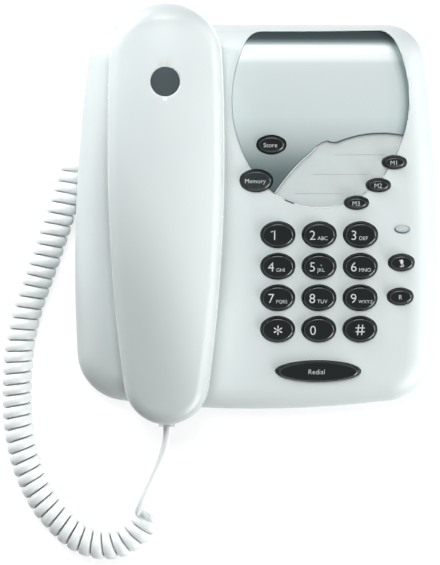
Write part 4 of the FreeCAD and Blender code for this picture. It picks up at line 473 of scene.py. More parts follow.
# %% Growing an end along a route
def grow(bm, ring, points, aim=None):
    """Extrudes a ring of vertices along points; aim is the way the flat's thin side faces at the end."""
    heading = (points[1] - points[0]).normalized()
    flat = None
    for step, point in enumerate(points[1:], start=1):
        ahead = points[min(step + 1, len(points) - 1)]
        way = (ahead - points[step - 1]).normalized()
        edges = list({edge for vertex in ring for edge in vertex.link_edges
                      if all(end in ring for end in edge.verts)})
        fresh = bmesh.ops.extrude_edge_only(bm, edges=edges)["geom"]
        ring = [item for item in fresh if isinstance(item, bmesh.types.BMVert)]
        middle = sum((vertex.co for vertex in ring), Vector()) / len(ring)
        swing = heading.rotation_difference(way).to_matrix()
        if aim is not None and flat is None:
            nearest = min(ring, key=lambda vertex: (vertex.co - middle).length)
            flat = (nearest.co - middle).normalized()
        if flat is not None:
            flat = swing @ flat
            goal = (aim - way * aim.dot(way)).normalized()
            angle = math.atan2(flat.cross(goal).dot(way), flat.dot(goal))
            if abs(angle) > math.pi / 2:
                angle -= math.copysign(math.pi, angle)
            twist = Matrix.Rotation(angle / max(len(points) - step, 1), 3, way)
            swing = twist @ swing
            flat = twist @ flat
        for vertex in ring:
            vertex.co = point + swing @ (vertex.co - middle)
        heading = way
    return ring


# %% [markdown]
# One end runs straight into the base's socket, and the other climbs to the handset through listed points. Both
# are closed with a face. The path that the whole lead takes is kept as well, for the facts of the cord.

# %% The free ends
HANDSET_LEAD = [
    (-56.2, -140.6, 16.2), (-55, -137.2, 19.8), (-53, -132.2, 22.3), (-50.2, -126.2, 24),
    (-47, -119.2, 25.4), (-44, -112, 27), (-42, -105.29, 28.74), (-42, -98.54, 29.57),
]
coil_end = centre_line[-1]
lead_line = smooth_route("lead_route", [coil_end, coil_end + Vector((0, 0, 3.4)), *map(Vector, HANDSET_LEAD)])
socket_line = [centre_line[0] + Vector((along, 0, 0)) for along in (0, 2.5, 5, 7.5, 10, 12, 13.95)]
bm.verts.ensure_lookup_table()
first_ring = bm.verts[:SECTION_POINTS]
last_ring = [item for item in last if isinstance(item, bmesh.types.BMVert)]
ends = [grow(bm, first_ring, socket_line), grow(bm, last_ring, lead_line, aim=Vector((0, -0.12, 0.99)))]
for ring in ends:
    bmesh.ops.contextual_create(bm, geom=ring)
bmesh.ops.recalc_face_normals(bm, faces=bm.faces)
bmesh.ops.scale(bm, verts=bm.verts, vec=(MM, MM, MM))
path = [point * MM for point in socket_line[:0:-1] + centre_line + lead_line[1:]]
length = sum((b - a).length for a, b in zip(path, path[1:]))
print(f"cord: {length:.3f} m, lowest point {min(v.co.z for v in bm.verts) * 1000:.2f} mm")

# %% [markdown]
# Every new piece ends the same way: the bmesh becomes an object at the origin, with smooth faces, sharp where
# two faces meet at a strong angle. It is told which body it moves with and which imported nodes it stands for.
# The cord is the first such piece.

# %% From bmesh to piece
def piece(name, bm, material, body=None, replaces=(), sharp=35):
    """Turns a bmesh into a finished object."""
    mesh = bpy.data.meshes.new(name)
    bm.to_mesh(mesh)
    bm.free()
    mesh.polygons.foreach_set("use_smooth", [True] * len(mesh.polygons))
    mesh.set_sharp_from_angle(angle=math.radians(sharp))
    made = bpy.data.objects.new(name, mesh)
    bpy.context.scene.collection.objects.link(made)
    mesh.materials.append(material)
    if body:
        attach(made, body)
    if replaces:
        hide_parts(*replaces)
    return made


cord_nodes = ["curly_cord", "cord_base_lead", "cord_handset_lead"]
cord = piece("coiled_cord", bm, SHEATH, replaces=cord_nodes)
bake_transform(cord)
print("cord piece:", cord.name, "with", len(cord.data.polygons), "faces")

# %% [markdown]
# ## The mouldings
#
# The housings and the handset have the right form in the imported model, but its mesh is loose triangles, which
# shade as flat facets. A copy is merged at its doubled points and shaded smooth. Where a flat meets a rounded
# edge, a plain average would tilt the normals at the flat's border, and the flat's long thin triangles would
# carry that tilt right across it. So the faces of large flats are marked as strong, and the Weighted Normal
# modifier lets a strong face alone decide at every corner that it touches.

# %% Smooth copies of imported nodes
LARGE_FLAT = 250e-6
STRONG = 16384


def merged(node):
    """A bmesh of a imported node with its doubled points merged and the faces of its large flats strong."""
    bm = bmesh.new()
    bm.from_mesh(NODES[node].data)
    bmesh.ops.remove_doubles(bm, verts=bm.verts, dist=2e-6)
    strength = bm.faces.layers.int.new("__mod_weightednormals_faceweight")
    planes = {}
    for face in bm.faces:
        level = face.normal.dot(face.verts[0].co)
        plane = (*(round(part, 3) for part in face.normal), round(level, 5))
        planes.setdefault(plane, []).append(face)
    for faces in planes.values():
        if sum(face.calc_area() for face in faces) > LARGE_FLAT:
            for face in faces:
                face[strength] = STRONG
    return bm


def moulding(node, name, material, body):
    """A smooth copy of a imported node, which it stands for."""
    made = piece(name, merged(node), material, body, [node], sharp=28)
    weighted = made.modifiers.new("even_shading", "WEIGHTED_NORMAL")
    weighted.keep_sharp = True
    weighted.use_face_influence = True
    return made


base_top = moulding("base_upper_housing", "base_top", SHELL, "base")
base_tray = moulding("base_lower_housing", "base_tray", SHELL, "base")
handset_back = moulding("handset_back_shell", "handset_back", HANDSET, "handset")
handset_front = moulding("handset_front_shell", "handset_front", HANDSET, "handset")
hook_button = moulding("hook_plunger", "hook_button", SHELL, "hook_plunger")
for made in (base_top, base_tray, handset_back, handset_front, hook_button):
    print("moulding:", made.name, "with", len(made.data.polygons), "faces")

# %% [markdown]
# The lower half of the handset stands out a little all round the joint. Its narrow ledge was the edge of the
# mould, so it is smoother than the flanks, and its paler colour is a painted highlight: the fine light line
# along the handset.

# %% Painted highlight on the ledge at the handset's joint
# Painted highlight: the ledge is paler than the handset's plastic to draw the light line along the joint.
LEDGE_HIGHLIGHT = plastic("ledge_painted_highlight", (250, 253, 252), 0.25, grain=0.004, index=2.2)
handset_front.data.materials.append(LEDGE_HIGHLIGHT)
JOINT_LEVEL, JOINT_PLAY = 45.05 * MM, 0.2 * MM
for face in handset_front.data.polygons:
    height = face.center.z - (JOINT_LEVEL + math.tan(SLOPE) * face.center.y)
    if face.normal.z > 0.98 and abs(height) < JOINT_PLAY:
        face.material_index = 1
print("ledge faces:", sum(face.material_index for face in handset_front.data.polygons))

# %% [markdown]
# ## The silver panel
#
# The panel is a thin moulding painted silver. Painted reflections and painted shade change its tone in bands
# up the face: smoky grey down by the Memory key, then an even silver, a bright painted reflection where the
# face starts to roll over, and a dark one beyond. A colour ramp over the height on the face holds these bands.
# A second ramp, over the distance from the middle of the right side's arc, paints shade along that edge and
# follows its curve.

# %% A colour ramp over a length
def ramp(nodes, links, source, stops, low, high):
    """A colour ramp over a length from low to high, with its stops given as (length, colour)."""
    made = nodes.new("ShaderNodeValToRGB")
    line = made.color_ramp.elements
    while len(line) < len(stops):
        line.new(0.5)
    for element, (at, colour) in zip(line, stops):
        element.position = (at - low) / (high - low)
        element.color = shade(*colour)
    fit = nodes.new("ShaderNodeMapRange")
    fit.inputs["From Min"].default_value = low * MM
    fit.inputs["From Max"].default_value = high * MM
    links.new(source, fit.inputs["Value"])
    links.new(fit.outputs["Result"], made.inputs["Fac"])
    return made.outputs["Color"]


# %% [markdown]
# The colour is the ramp of painted reflections multiplied by the ramp of painted shade. The paint's flakes are
# too fine to see one by one, so they only make the roughness uneven, and a little metal in the shader gives the
# silver its sheen.

# %% Silver with painted reflections and shade
PANEL_X, PANEL_V = 29.8, 44.8
ARC_X, ARC_V = PANEL_X - 18.9, PANEL_V + 7.3

SILVER, nodes, links, shader = new_material("silver_paint_and_painted_reflections")
place = nodes.new("ShaderNodeTexCoord")
split = nodes.new("ShaderNodeSeparateXYZ")
links.new(place.outputs["Object"], split.inputs["Vector"])
# Painted reflections and shade in bands up the face, with a bright stripe and a dark one where it rolls over.
painted_light_bands = ramp(nodes, links, split.outputs["Y"], [
    (8, (72, 86, 88)), (20, (98, 112, 113)), (26, (130, 143, 143)), (33, (170, 181, 181)),
    (39, (188, 199, 199)), (46, (202, 212, 212)), (66, (205, 214, 214)), (70.6, (208, 217, 217)),
    (73.4, (240, 245, 245)), (76.4, (238, 243, 243)), (78.4, (206, 213, 213)), (79.6, (150, 160, 161)),
    (80.8, (92, 105, 106)), (82.3, (44, 56, 58)), (86, (40, 52, 54)),
], low=4, high=90)
flat = nodes.new("ShaderNodeVectorMath")
flat.operation = "MULTIPLY"
flat.inputs[1].default_value = (1, 1 / math.cos(SLOPE), 0)
away = nodes.new("ShaderNodeVectorMath")
away.operation = "DISTANCE"
away.inputs[1].default_value = (ARC_X * MM, ARC_V * MM, 0)
links.new(place.outputs["Object"], flat.inputs[0])
links.new(flat.outputs["Vector"], away.inputs[0])
# Painted shade along the right side's arc.
edge = ramp(nodes, links, away.outputs["Value"], [
    (50, (255, 255, 255)), (55.6, (247, 249, 249)), (57.8, (214, 220, 220)), (59.4, (150, 162, 162)),
], low=48, high=62)
paint = nodes.new("ShaderNodeMix")
paint.data_type = "RGBA"
paint.blend_type = "MULTIPLY"
paint.inputs["Factor"].default_value = 1
links.new(painted_light_bands, paint.inputs["A"])
links.new(edge, paint.inputs["B"])
links.new(paint.outputs["Result"], shader.inputs["Base Color"])
flake = noise_from(nodes, links, place, 5200, 2)
links.new(between(nodes, links, flake.outputs["Fac"], 0.3, 0.42), shader.inputs["Roughness"])
shader.inputs["Metallic"].default_value = 0.15
shader.inputs["IOR"].default_value = 1.3

panel = moulding("fascia_panel", "silver_panel", SILVER, "base")
print("panel:", panel.name)

# %% [markdown]
# ## Keys
#
# The twelve digit keys stand in a grid, so a loop places them. The other eight have places and sizes of their
# own.

# %% Where each key is, with its length and width
COLUMN, ROW = 19.4, 14.94
KEYS = {}
for i, name in enumerate(["1", "2", "3", "4", "5", "6", "7", "8", "9", "star", "0", "hash"]):
    KEYS["key_" + name] = (10.2 + COLUMN * (i % 3), -8.85 - ROW * (i // 3), 16, 12.2)
KEYS.update({
    "key_redial": (29.4, -73.7, 40.4, 10),
    "key_mute": (68.3, -22, 12.2, 8),
    "key_recall": (67.9, -38.1, 12.2, 8),
    "key_store": (7, 33.5, 13.6, 8.7),
    "key_memory": (0, 16.6, 15.2, 10.5),
    "key_m1": (64.6, 25.2, 11.3, 6.2),
    "key_m2": (57.2, 14.5, 11.3, 6.2),
    "key_m3": (47, 6.2, 11.3, 6.2),
})
print("keys:", len(KEYS))

# %% [markdown]
# Each key is an oval cap on a flange under the face. One circle makes it: stretched to the oval, extruded up
# for the wall, then extruded again and again, each time drawn in a little and moved up or down by one step of
# the profile. The steep shoulder stays dark, the narrow rim at its top catches the light as the fine ring
# that the photograph shows, and inside the rim the top is dished for the fingertip. A long thin oval has
# pointed ends, so it is drawn in more along its length than across: that keeps the rim's ends round. The
# redial key, the longest one, has a narrower shoulder than the others.

# %% A key cap
KEY_TOP, FLANGE_TOP, FLANGE_BOTTOM = 2.6, -3.1, -4.1
FLANGE_EXTRA = 1.6
SHOULDER = [(0.25, 0.95), (0.75, 1.1), (0.28, 0.2), (0.07, -0.01)]
DISH = [(0.12, -0.08), (0.3, -0.07), (0.35, -0.03)]
RIM_RING = 3
LONG_KEY, LONG_KEY_SHOULDER = 30, 0.6


def key_cap(x, v, length, width):
    """A bmesh of one key: its cap and its flange."""
    narrow = LONG_KEY_SHOULDER if length > LONG_KEY else 1
    shoulder = [(inset * narrow, step) for inset, step in SHOULDER]
    bm = bmesh.new()
    bmesh.ops.create_circle(bm, cap_ends=True, segments=72, radius=0.5)
    bmesh.ops.scale(bm, verts=bm.verts, vec=(length, width, 1))
    bmesh.ops.translate(bm, verts=bm.verts, vec=(0, 0, FLANGE_TOP))
    slender = max(length / width / 1.4, 1)
    inside = width / 2 - sum(inset for inset, _ in shoulder)
    wall = KEY_TOP - FLANGE_TOP - sum(step for _, step in shoulder)
    top = bm.faces[:]
    half_length, half_width = length / 2, width / 2
    profile = [(0, wall)] + shoulder + [(share * inside, step) for share, step in DISH]
    for level, (inset, step) in enumerate(profile):
        fresh = bmesh.ops.extrude_face_region(bm, geom=top)["geom"]
        bmesh.ops.delete(bm, geom=[face for face in top if len(bm.faces) > 2 and inset], context="FACES_ONLY")
        top = [item for item in fresh if isinstance(item, bmesh.types.BMFace)]
        ring = [item for item in fresh if isinstance(item, bmesh.types.BMVert)]
        drawn_in = (1 - inset * slender / half_length, 1 - inset / half_width, 1)
        bmesh.ops.scale(bm, verts=ring, vec=drawn_in)
        bmesh.ops.translate(bm, verts=ring, vec=(0, 0, step))
        half_length, half_width = half_length * drawn_in[0], half_width * drawn_in[1]
        if level == RIM_RING:
            for face in {face for vertex in ring for face in vertex.link_faces if len(face.verts) == 4}:
                face.material_index = 1
    bmesh.ops.recalc_face_normals(bm, faces=bm.faces)
    flange = bmesh.ops.create_cube(bm, size=1)["verts"]
    thick = FLANGE_TOP - FLANGE_BOTTOM
    bmesh.ops.scale(bm, verts=flange, vec=(length + FLANGE_EXTRA, width + FLANGE_EXTRA, thick))
    bmesh.ops.translate(bm, verts=flange, vec=(0, 0, FLANGE_BOTTOM + thick / 2))
    bmesh.ops.translate(bm, verts=bm.verts, vec=(x, v, 0))
    bmesh.ops.transform(bm, matrix=FACE, verts=bm.verts)
    return bm


# %% [markdown]
# All twenty caps come from that function. Each one's surface is also kept as a search tree, so that the ink
# can be dropped onto it later. The rim is a material of its own, smoother and more refractive than the cap, and
# a little paler, which is a painted highlight on the ring.

# %% The twenty caps
# Painted highlight: the rim's colour is a little paler than the cap's.
RIM = plastic("key_rim_painted_highlight", (26, 36, 38), 0.16, grain=0.002, index=1.75)
caps = {}
for name, where in KEYS.items():
    material, slot = (GREY, "grey_key") if name == "key_memory" else (BLACK, "dark_key")
    bm = key_cap(*where)
    caps[name] = BVHTree.FromBMesh(bm)
    cap = piece(name + "_cap", bm, material, name, [name], sharp=18)
    cap.data.materials.append(RIM)
print("caps:", len(caps))

# %% [markdown]
# ## What is printed on the keys
#
# The legends are pad-printed in pale grey: a digit left of the middle with its letters small beside it, and
# words on the other keys. Each is written down with its place beside the key's middle and its height.

# %% Legends
LEGENDS = {
    "key_1": [("1", -3.2, -2.2, 6.4)],
    "key_star": [("*", -2, -5.2, 10)],
    "key_0": [("0", -4.4, -2.4, 6.4)],
    "key_hash": [],
    "key_redial": [("Redial", -4.9, -1.1, 3.3)],
    "key_recall": [("R", -1, -1.1, 3)],
    "key_store": [("Store", -3.8, -1.1, 3)],
    "key_memory": [("Memory", -5.5, -1, 2.9)],
    "key_m1": [("M1", -2.2, -1.1, 3)],
    "key_m2": [("M2", -2.2, -1.1, 3)],
    "key_m3": [("M3", -2.2, -1.1, 3)],
}
for digit, letters in zip("23456789", ["ABC", "DEF", "GHI", "JKL", "MNO", "PQRS", "TUV", "WXYZ"]):
    height = 2.5 if len(letters) < 4 else 2.25
    LEGENDS["key_" + digit] = [(digit, -4.8, -2.2, 6.4), (letters, -0.9, -2.3, height)]
print("legends:", len(LEGENDS))

# %% [markdown]
# Pad printing wraps ink over a dished key, so each letter is made a mesh, cut into small faces, and each of
# its points is dropped onto the cap by a ray cast along the face's own normal. The typeface's hash sign
# slants and its 1 has no flag, so four bars make the hash sign and one completes the 1.

# %% Flat words and bars, and how they are dropped
INK = plastic("pale_ink", (214, 220, 220), 0.5, grain=0.004)
OUTWARD = (FACE.to_3x3() @ Vector((0, 0, 1))).normalized()
INK_LIFT = 0.03
INK_STEP = 0.8
ABOVE_KEYS = KEY_TOP + 1
THINNER = 0.007


def lettering(words, x, v):
    """A flat mesh of the words on the face: each with its place beside (x, v) and its height."""
    bm = bmesh.new()
    for text, left, low, height in words:
        curve = bpy.data.curves.new("word", "FONT")
        curve.body = text
        curve.size = height
        curve.resolution_u = 3
        curve.offset = 0 if text == "*" else -THINNER * height
        holder = bpy.data.objects.new("word", curve)
        flat = bpy.data.meshes.new_from_object(holder)
        flat.transform(Matrix.Translation((x + left, v + low, ABOVE_KEYS)))
        bm.from_mesh(flat)
        bpy.data.objects.remove(holder)
        bpy.data.meshes.remove(flat)
    return bm


def drop_onto(bm, surface):
    """Cuts a flat mesh on the face into small faces, and lays it on a surface beneath."""
    bmesh.ops.triangulate(bm, faces=bm.faces)
    long_edges = [edge for edge in bm.edges if edge.calc_length() > INK_STEP]
    bmesh.ops.subdivide_edges(bm, edges=long_edges, cuts=1)
    bmesh.ops.transform(bm, matrix=FACE, verts=bm.verts)
    for vertex in bm.verts:
        hit = surface.ray_cast(vertex.co, -OUTWARD)[0]
        if hit is not None:
            vertex.co = hit + OUTWARD * INK_LIFT * MM
    return bm


def bar(bm, x, v, length, width, turn=0):
    """A flat bar on the face, turned by so many degrees."""
    corners = bmesh.ops.create_grid(bm, x_segments=1, y_segments=1, size=0.5)["verts"]
    bmesh.ops.scale(bm, verts=corners, vec=(length, width, 1))
    bmesh.ops.rotate(bm, verts=corners, matrix=Matrix.Rotation(math.radians(turn), 3, "Z"))
    bmesh.ops.translate(bm, verts=corners, vec=(x, v, ABOVE_KEYS))


# %% [markdown]
# The flag of the 1 and the bars of the hash sign go into the same mesh as the words, so one loop prints all
# nineteen keys that have legends.

# %% Print the legends
for name, words in LEGENDS.items():
    x, v = KEYS[name][:2]
    bm = lettering(words, x, v)
    if name == "key_1":
        bar(bm, x - 2.8, v + 1.7, 1.2, 0.36, 34)
    if name == "key_hash":
        for side in (-1, 1):
            bar(bm, x + side * 0.95, v, 5, 0.5, 84)
            bar(bm, x, v + side * 0.92, 4.3, 0.5)
    printed = piece(name + "_print", drop_onto(bm, caps[name]), INK, name)
    print(printed.name, "has", len(printed.data.vertices), "vertices")

# %% [markdown]
# The mute key carries a sign in place of a word: a microphone with a bar across it. An oval and three bars
# make it, less than four millimetres high. The 5 has a small raised nub by which a finger finds it in the dark;
# its pale grey is a painted highlight.

# %% Mute sign and the nub on the 5
mute_x, mute_v = KEYS["key_mute"][:2]
bm = bmesh.new()
head = bmesh.ops.create_circle(bm, cap_ends=True, segments=16, radius=0.75)["verts"]
bmesh.ops.scale(bm, verts=head, vec=(1, 1.5, 1))
bmesh.ops.translate(bm, verts=head, vec=(mute_x, mute_v + 0.6, ABOVE_KEYS))
bar(bm, mute_x, mute_v - 1.1, 0.32, 1)
bar(bm, mute_x, mute_v - 1.7, 1.7, 0.32)
bar(bm, mute_x, mute_v, 3.6, 0.3, -52)
sign = piece("mute_sign", drop_onto(bm, caps["key_mute"]), INK, "key_mute")

five_x, five_v = KEYS["key_5"][:2]
bm = bmesh.new()
bmesh.ops.create_uvsphere(bm, u_segments=16, v_segments=8, radius=0.42)
bmesh.ops.scale(bm, verts=bm.verts, vec=(1, 1, 0.8))
bmesh.ops.translate(bm, verts=bm.verts, vec=(five_x + 0.9, five_v + 0.75, KEY_TOP - 0.1))
bmesh.ops.transform(bm, matrix=FACE, verts=bm.verts)
# Painted highlight: the nub is pale grey all over to stand for its glint.
nub = piece("key_5_nub", bm, plastic("nub_painted_highlight", (120, 130, 131), 0.3), "key_5", sharp=80)
print("sign:", sign.name, "nub:", nub.name)

# %% [markdown]
# ## Index card and its clear cover
#
# Below the panel lies a paper card under a clear window, with three dotted lines to write names on. The card
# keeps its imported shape, so it only needs a finish. The window is clear plastic: a mostly transparent surface
# that still reflects.

# %% Card and clear cover
def dress(finish, *nodes):
    """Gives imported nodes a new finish."""
    for node in nodes:
        NODES[node].data.materials.clear()
        NODES[node].data.materials.append(finish)


dress(plastic("index_paper", (208, 219, 217), 0.75, grain=0.02, grain_size=0.12), "index_card")
CLEAR, nodes, links, shader = new_material("clear_cover")
shader.inputs["Base Color"].default_value = (0.93, 0.96, 0.95, 1)
shader.inputs["Roughness"].default_value = 0.06
shader.inputs["Alpha"].default_value = 0.22
cover = moulding("index_cover", "card_window", CLEAR, "index_cover")
print("cover:", cover.name)

# %% [markdown]
# The card's lines are rows of short dots, each a tiny flattened disc of eight corners.

# %% Dotted lines
DOT_ROWS = [(28.6, 37, 61.5), (19.4, 26.9, 52.5), (10.4, 18.6, 41.5)]
DOT_PITCH, DOT_RADIUS, DOT_STRETCH = 1.42, 0.24, 1.8
CARD_TOP = -1.07

bm = bmesh.new()
for v, left, right in DOT_ROWS:
    for i in range(int((right - left) / DOT_PITCH)):
        dot = bmesh.ops.create_circle(bm, cap_ends=True, segments=8, radius=DOT_RADIUS)["verts"]
        bmesh.ops.scale(bm, verts=dot, vec=(DOT_STRETCH, 1, 1))
        bmesh.ops.translate(bm, verts=dot, vec=(left + i * DOT_PITCH, v, CARD_TOP))
bmesh.ops.transform(bm, matrix=FACE, verts=bm.verts)
dots = piece("dotted_lines", bm, plastic("dot_ink", (98, 110, 109), 0.6, grain=0), "base")
print("dots:", len(dots.data.polygons))

# %% [markdown]
# ## Lines round the window
#
# Three thin lines draw the window. A dark strip of painted shadow lies in the gap under the panel's edge, wide
# to the right of the thumb notch and narrow to its left. Beside the narrow part runs a pale bead, moulded on
# the window, with a fine dark line of painted shadow beyond it. A second bead fills the gap along the window's
# round lower edge, up to the first of the three memory keys, and one short dark strip there is the painted
# shadow in the slot where a finger nail gets under it. Most of them follow the panel's edge at some distance,
# so that gets a helper of its own.

# %% The window's edges, and a line beside a line
NOTCH = [(33.3, 35.5), (34.7, 35), (36.2, 34.8), (37.7, 34.9)]
UPPER_EDGE = NOTCH + [(41.6, 36.4), (47.8, 38.1), (54, 39), (60.4, 39.1), (66.7, 38.5), (68.8, 38.2)]
LOWER_EDGE = [
    (8.3, 11.05), (11.3, 15.4), (14.56, 19.56), (18.07, 23.5), (21.82, 27.22), (25.8, 30.7), (27.9, 32.9),
    (30.4, 34.5), (33.3, 35.5),
]
WINDOW_TOP = 0.3


def beside(points, gap):
    """A line that runs so far to the right of another one."""
    found = []
    for i, (x, v) in enumerate(points):
        before, after = points[max(i - 1, 0)], points[min(i + 1, len(points) - 1)]
        way = Vector((after[0] - before[0], after[1] - before[1])).normalized()
        found.append((x + way.y * gap, v - way.x * gap))
    return found


print("points on the window's edges:", len(UPPER_EDGE), "and", len(LOWER_EDGE))

# %% [markdown]
# The painted shadow is flat, so it is a strip: a single edge is extruded from one point of the line to the
# next.

# %% Painted shadow in the gaps
def strip(bm, points, near, far, level):
    """A flat strip beside a line, from one distance to another."""
    gaps = list(zip(beside(points, near), beside(points, far)))
    (x, v), (far_x, far_v) = gaps[0]
    tip = [bm.verts.new((x, v, level)), bm.verts.new((far_x, far_v, level))]
    edge = bm.edges.new(tip)
    for (x, v), (far_x, far_v) in gaps[1:]:
        fresh = bmesh.ops.extrude_edge_only(bm, edges=[edge])["geom"]
        edge = next(item for item in fresh if isinstance(item, bmesh.types.BMEdge)
                    and not any(corner in tip for corner in item.verts))
        near_end = min(edge.verts, key=lambda corner: (corner.co - tip[0].co).length)
        tip = [near_end, edge.other_vert(near_end)]
        tip[0].co, tip[1].co = (x, v, level), (far_x, far_v, level)


# Painted shadow: dark strips laid where the gaps round the window's edge lie in shade.
GAP_SHADOW = plastic("gap_shadow_grey", (66, 80, 82), 0.5)
GAP_SHADOW_LEVEL = WINDOW_TOP + 0.03

bm = bmesh.new()
strip(bm, UPPER_EDGE, 0.02, 0.72, GAP_SHADOW_LEVEL)
strip(bm, LOWER_EDGE, 0.02, 0.3, GAP_SHADOW_LEVEL)
strip(bm, LOWER_EDGE[:-2], 0.8, 0.95, GAP_SHADOW_LEVEL)
bmesh.ops.transform(bm, matrix=FACE, verts=bm.verts)
bmesh.ops.recalc_face_normals(bm, faces=bm.faces)
gap_shadow = piece("window_gap_shadow", bm, GAP_SHADOW, "index_cover")
print("seal:", gap_shadow.name, "with", len(gap_shadow.data.polygons), "faces")

# %% [markdown]
# The beads are round, so each is a curve with a round bevel, made a mesh before it is put in its place.

# %% Beads and the nail slot
BEAD = plastic("bead_pale", (240, 245, 244), 0.3, grain=0.004)
WINDOW_CENTRE, WINDOW_REACH = (PANEL_X, 40.9), 37.1
NAIL_SLOT = (-116.3, -108.8)


def bead(bm, points, radius, level):
    """A thin round bead along a line."""
    curve = bpy.data.curves.new("bead", "CURVE")
    curve.dimensions = "3D"
    curve.bevel_depth = radius
    curve.bevel_resolution = 3
    curve.use_fill_caps = True
    spline = curve.splines.new("POLY")
    spline.points.add(len(points) - 1)
    for knot, (x, v) in zip(spline.points, points):
        knot.co = (x, v, level, 1)
    holder = bpy.data.objects.new("bead", curve)
    line = bpy.data.meshes.new_from_object(holder)
    bm.from_mesh(line)
    bpy.data.objects.remove(holder)
    bpy.data.meshes.remove(line)


def round_window(first, last, steps=24):
    """Points on the window's round lower edge between two angles, in degrees."""
    angles = [math.radians(first + (last - first) * i / steps) for i in range(steps + 1)]
    return [
        (WINDOW_CENTRE[0] + WINDOW_REACH * math.cos(a), WINDOW_CENTRE[1] + WINDOW_REACH * math.sin(a))
        for a in angles
    ]


bm = bmesh.new()
bead(bm, beside(LOWER_EDGE[:-2], 0.55), 0.24, WINDOW_TOP)
for first, last in ((-124, NAIL_SLOT[0]), (NAIL_SLOT[1], -75)):
    bead(bm, round_window(first, last), 0.3, -0.1)
bmesh.ops.transform(bm, matrix=FACE, verts=bm.verts)
beads = piece("window_beads", bm, BEAD, "index_cover", sharp=60)

# Painted shadow in the nail slot: a short dark strip.
bm = bmesh.new()
strip(bm, round_window(*NAIL_SLOT), -0.35, 0.35, 0.04)
bmesh.ops.transform(bm, matrix=FACE, verts=bm.verts)
bmesh.ops.recalc_face_normals(bm, faces=bm.faces)
nail_slot_shadow = piece("nail_slot_shadow", bm, GAP_SHADOW, "index_cover")
print("beads:", beads.name, "slot:", nail_slot_shadow.name)

# %% [markdown]
# The redial key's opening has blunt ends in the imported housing, and the photograph shows a fine oval. A thin
# flat collar of the housing's own plastic, cut to the key's oval, lies just under the opening's rim.

# %% Collar round the redial key
COLLAR_INSIDE, COLLAR_OUTSIDE, COLLAR_LEVEL = 0.5, 3.6, -0.06
x, v, length, width = KEYS["key_redial"]
bm = bmesh.new()
rings = []
for extra in (COLLAR_INSIDE, COLLAR_OUTSIDE):
    ring = bmesh.ops.create_circle(bm, segments=96, radius=0.5)["verts"]
    bmesh.ops.scale(bm, verts=ring, vec=(length + extra, width + extra, 1))
    rings += list({edge for vertex in ring for edge in vertex.link_edges})
bmesh.ops.bridge_loops(bm, edges=rings)
bmesh.ops.translate(bm, verts=bm.verts, vec=(x, v, COLLAR_LEVEL))
bmesh.ops.transform(bm, matrix=FACE, verts=bm.verts)
bmesh.ops.recalc_face_normals(bm, faces=bm.faces)
collar = piece("redial_collar", bm, SHELL, "base")
print("collar:", collar.name)

# %% [markdown]
# ## Small pieces
#
# The lamp is a frosted oval lens with a grey rim, and the badge on the handset a plain dark inlay. A Mapping
# node moves the lens's middle to the origin and makes its oval a circle of radius 1, so the distance from the
# origin picks the rim.

# %% Lamp and badge
LAMP_X, LAMP_Y, LAMP_HALF_LENGTH, LAMP_HALF_WIDTH = 68.6, -5.9, 3.7, 2.05
LENS, nodes, links, shader = new_material("frosted_lens")
place = nodes.new("ShaderNodeTexCoord")
centred = nodes.new("ShaderNodeMapping")
centred.inputs["Location"].default_value = (-LAMP_X / LAMP_HALF_LENGTH, -LAMP_Y / LAMP_HALF_WIDTH, 0)
centred.inputs["Scale"].default_value = (1 / (LAMP_HALF_LENGTH * MM), 1 / (LAMP_HALF_WIDTH * MM), 0)
outward = nodes.new("ShaderNodeVectorMath")
outward.operation = "LENGTH"
links.new(place.outputs["Object"], centred.inputs["Vector"])
links.new(centred.outputs["Vector"], outward.inputs[0])
rim = nodes.new("ShaderNodeValToRGB")
rim.color_ramp.elements[0].position = 0.72
rim.color_ramp.elements[0].color = shade(196, 209, 209)
rim.color_ramp.elements[1].position = 0.9
rim.color_ramp.elements[1].color = shade(120, 134, 134)
links.new(outward.outputs["Value"], rim.inputs["Fac"])
links.new(rim.outputs["Color"], shader.inputs["Base Color"])
shader.inputs["Roughness"].default_value = 0.3
shader.inputs["Subsurface Weight"].default_value = 0.3
shader.inputs["Subsurface Radius"].default_value = (0.002, 0.002, 0.002)
lamp_window = moulding("lamp_lens", "lamp_window", LENS, "base")
INLAY = plastic("badge_grey", (54, 67, 70), 0.34, index=1.38)
badge = moulding("handset_badge", "badge_inlay", INLAY, "handset")
print("small pieces:", lamp_window.name, badge.name)

# %% [markdown]
# ## What is inside and underneath
#
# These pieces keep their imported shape. Each gets the finish of the real thing: moulded black plastic,
# silicone rubber, open foam, enamelled board, tinned steel.

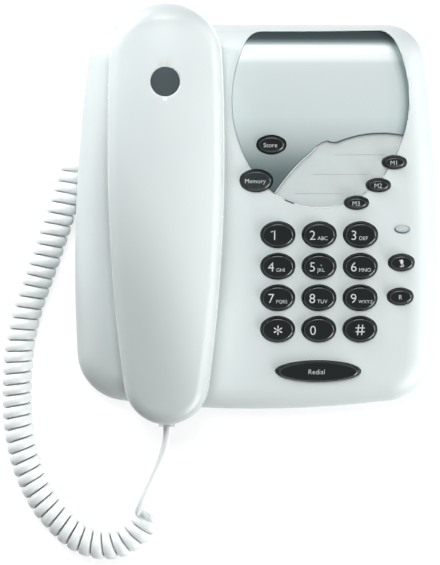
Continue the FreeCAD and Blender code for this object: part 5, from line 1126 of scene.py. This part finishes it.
# %% Plastic, rubber, foam and board
dress(SOCKET, "ringer_knob", "line_socket", "handset_jack", "handset_socket")
dress(SOCKET, "ringer_switch_body", "hook_switch")
dress(plastic("sounder_case", (28, 28, 30), 0.35), "ringer_sounder")
dress(plastic("foot_rubber", (58, 60, 62), 0.8, grain=0.05, grain_size=0.2), "rubber_feet")
dress(plastic("mat_silicone", (146, 154, 156), 0.62, grain=0.02), "keypad_mat")
foam = plastic("foam_black", (44, 46, 48), 0.95, grain=0.3, grain_size=0.5)
dress(foam, "receiver_gasket", "microphone_boot")
dress(plastic("board_enamel", (44, 92, 62), 0.38, grain=0.03, grain_size=1.2, drift=0.12), "main_board")
dress(plastic("wire_red", (168, 54, 46), 0.4), "base_wires", "handset_wires")
dress(plastic("led_red", (206, 70, 58), 0.2), "lamp_led")
print("foam:", foam.name)

# %% [markdown]
# Steel is a metal whose roughness wavers along one axis, like drawn wire and stamped sheet. A Mapping node
# with an uneven scale draws the noise out into that grain.

# %% Metals
def metal(name, colour, gloss, stretch=(1, 1, 8)):
    """A bare metal, with a fine grain drawn out along one axis."""
    made, nodes, links, shader = new_material(name)
    place = nodes.new("ShaderNodeTexCoord")
    drawn = nodes.new("ShaderNodeMapping")
    drawn.inputs["Scale"].default_value = stretch
    grain = nodes.new("ShaderNodeTexNoise")
    grain.inputs["Scale"].default_value = 900
    links.new(place.outputs["Object"], drawn.inputs["Vector"])
    links.new(drawn.outputs["Vector"], grain.inputs["Vector"])
    roughness = between(nodes, links, grain.outputs["Fac"], gloss - 0.08, gloss + 0.08)
    links.new(roughness, shader.inputs["Roughness"])
    shader.inputs["Base Color"].default_value = shade(*colour)
    shader.inputs["Metallic"].default_value = 1
    return made


dress(metal("screw_steel", (186, 188, 186), 0.3), "housing_screws", "board_screws", "handset_screws")
dress(metal("spring_wire", (176, 178, 180), 0.25, (1, 8, 1)), "hook_spring")
dress(metal("capsule_tin", (190, 190, 186), 0.4), "receiver_capsule", "microphone_capsule")
dress(metal("weight_zinc", (158, 162, 166), 0.5), "handset_weight")
print("finishes so far:", len(bpy.data.materials))

# %% [markdown]
# The two plugs are clear polycarbonate, hidden but for the end that holds the lead. Clear plastic is easiest
# to read when a part of it stays white: a mostly transparent surface over what lies behind it.

# %% Clear plugs
PLUG, nodes, links, shader = new_material("clear_plug")
place = nodes.new("ShaderNodeTexCoord")
cloud = noise_from(nodes, links, place, 420, 2)
links.new(between(nodes, links, cloud.outputs["Fac"], 0.05, 0.16), shader.inputs["Roughness"])
shader.inputs["Base Color"].default_value = shade(244, 249, 248)
shader.inputs["IOR"].default_value = 1.58
shader.inputs["Alpha"].default_value = 0.35
dress(PLUG, "cord_base_plug", "cord_handset_plug")
print("plugs:", PLUG.name)
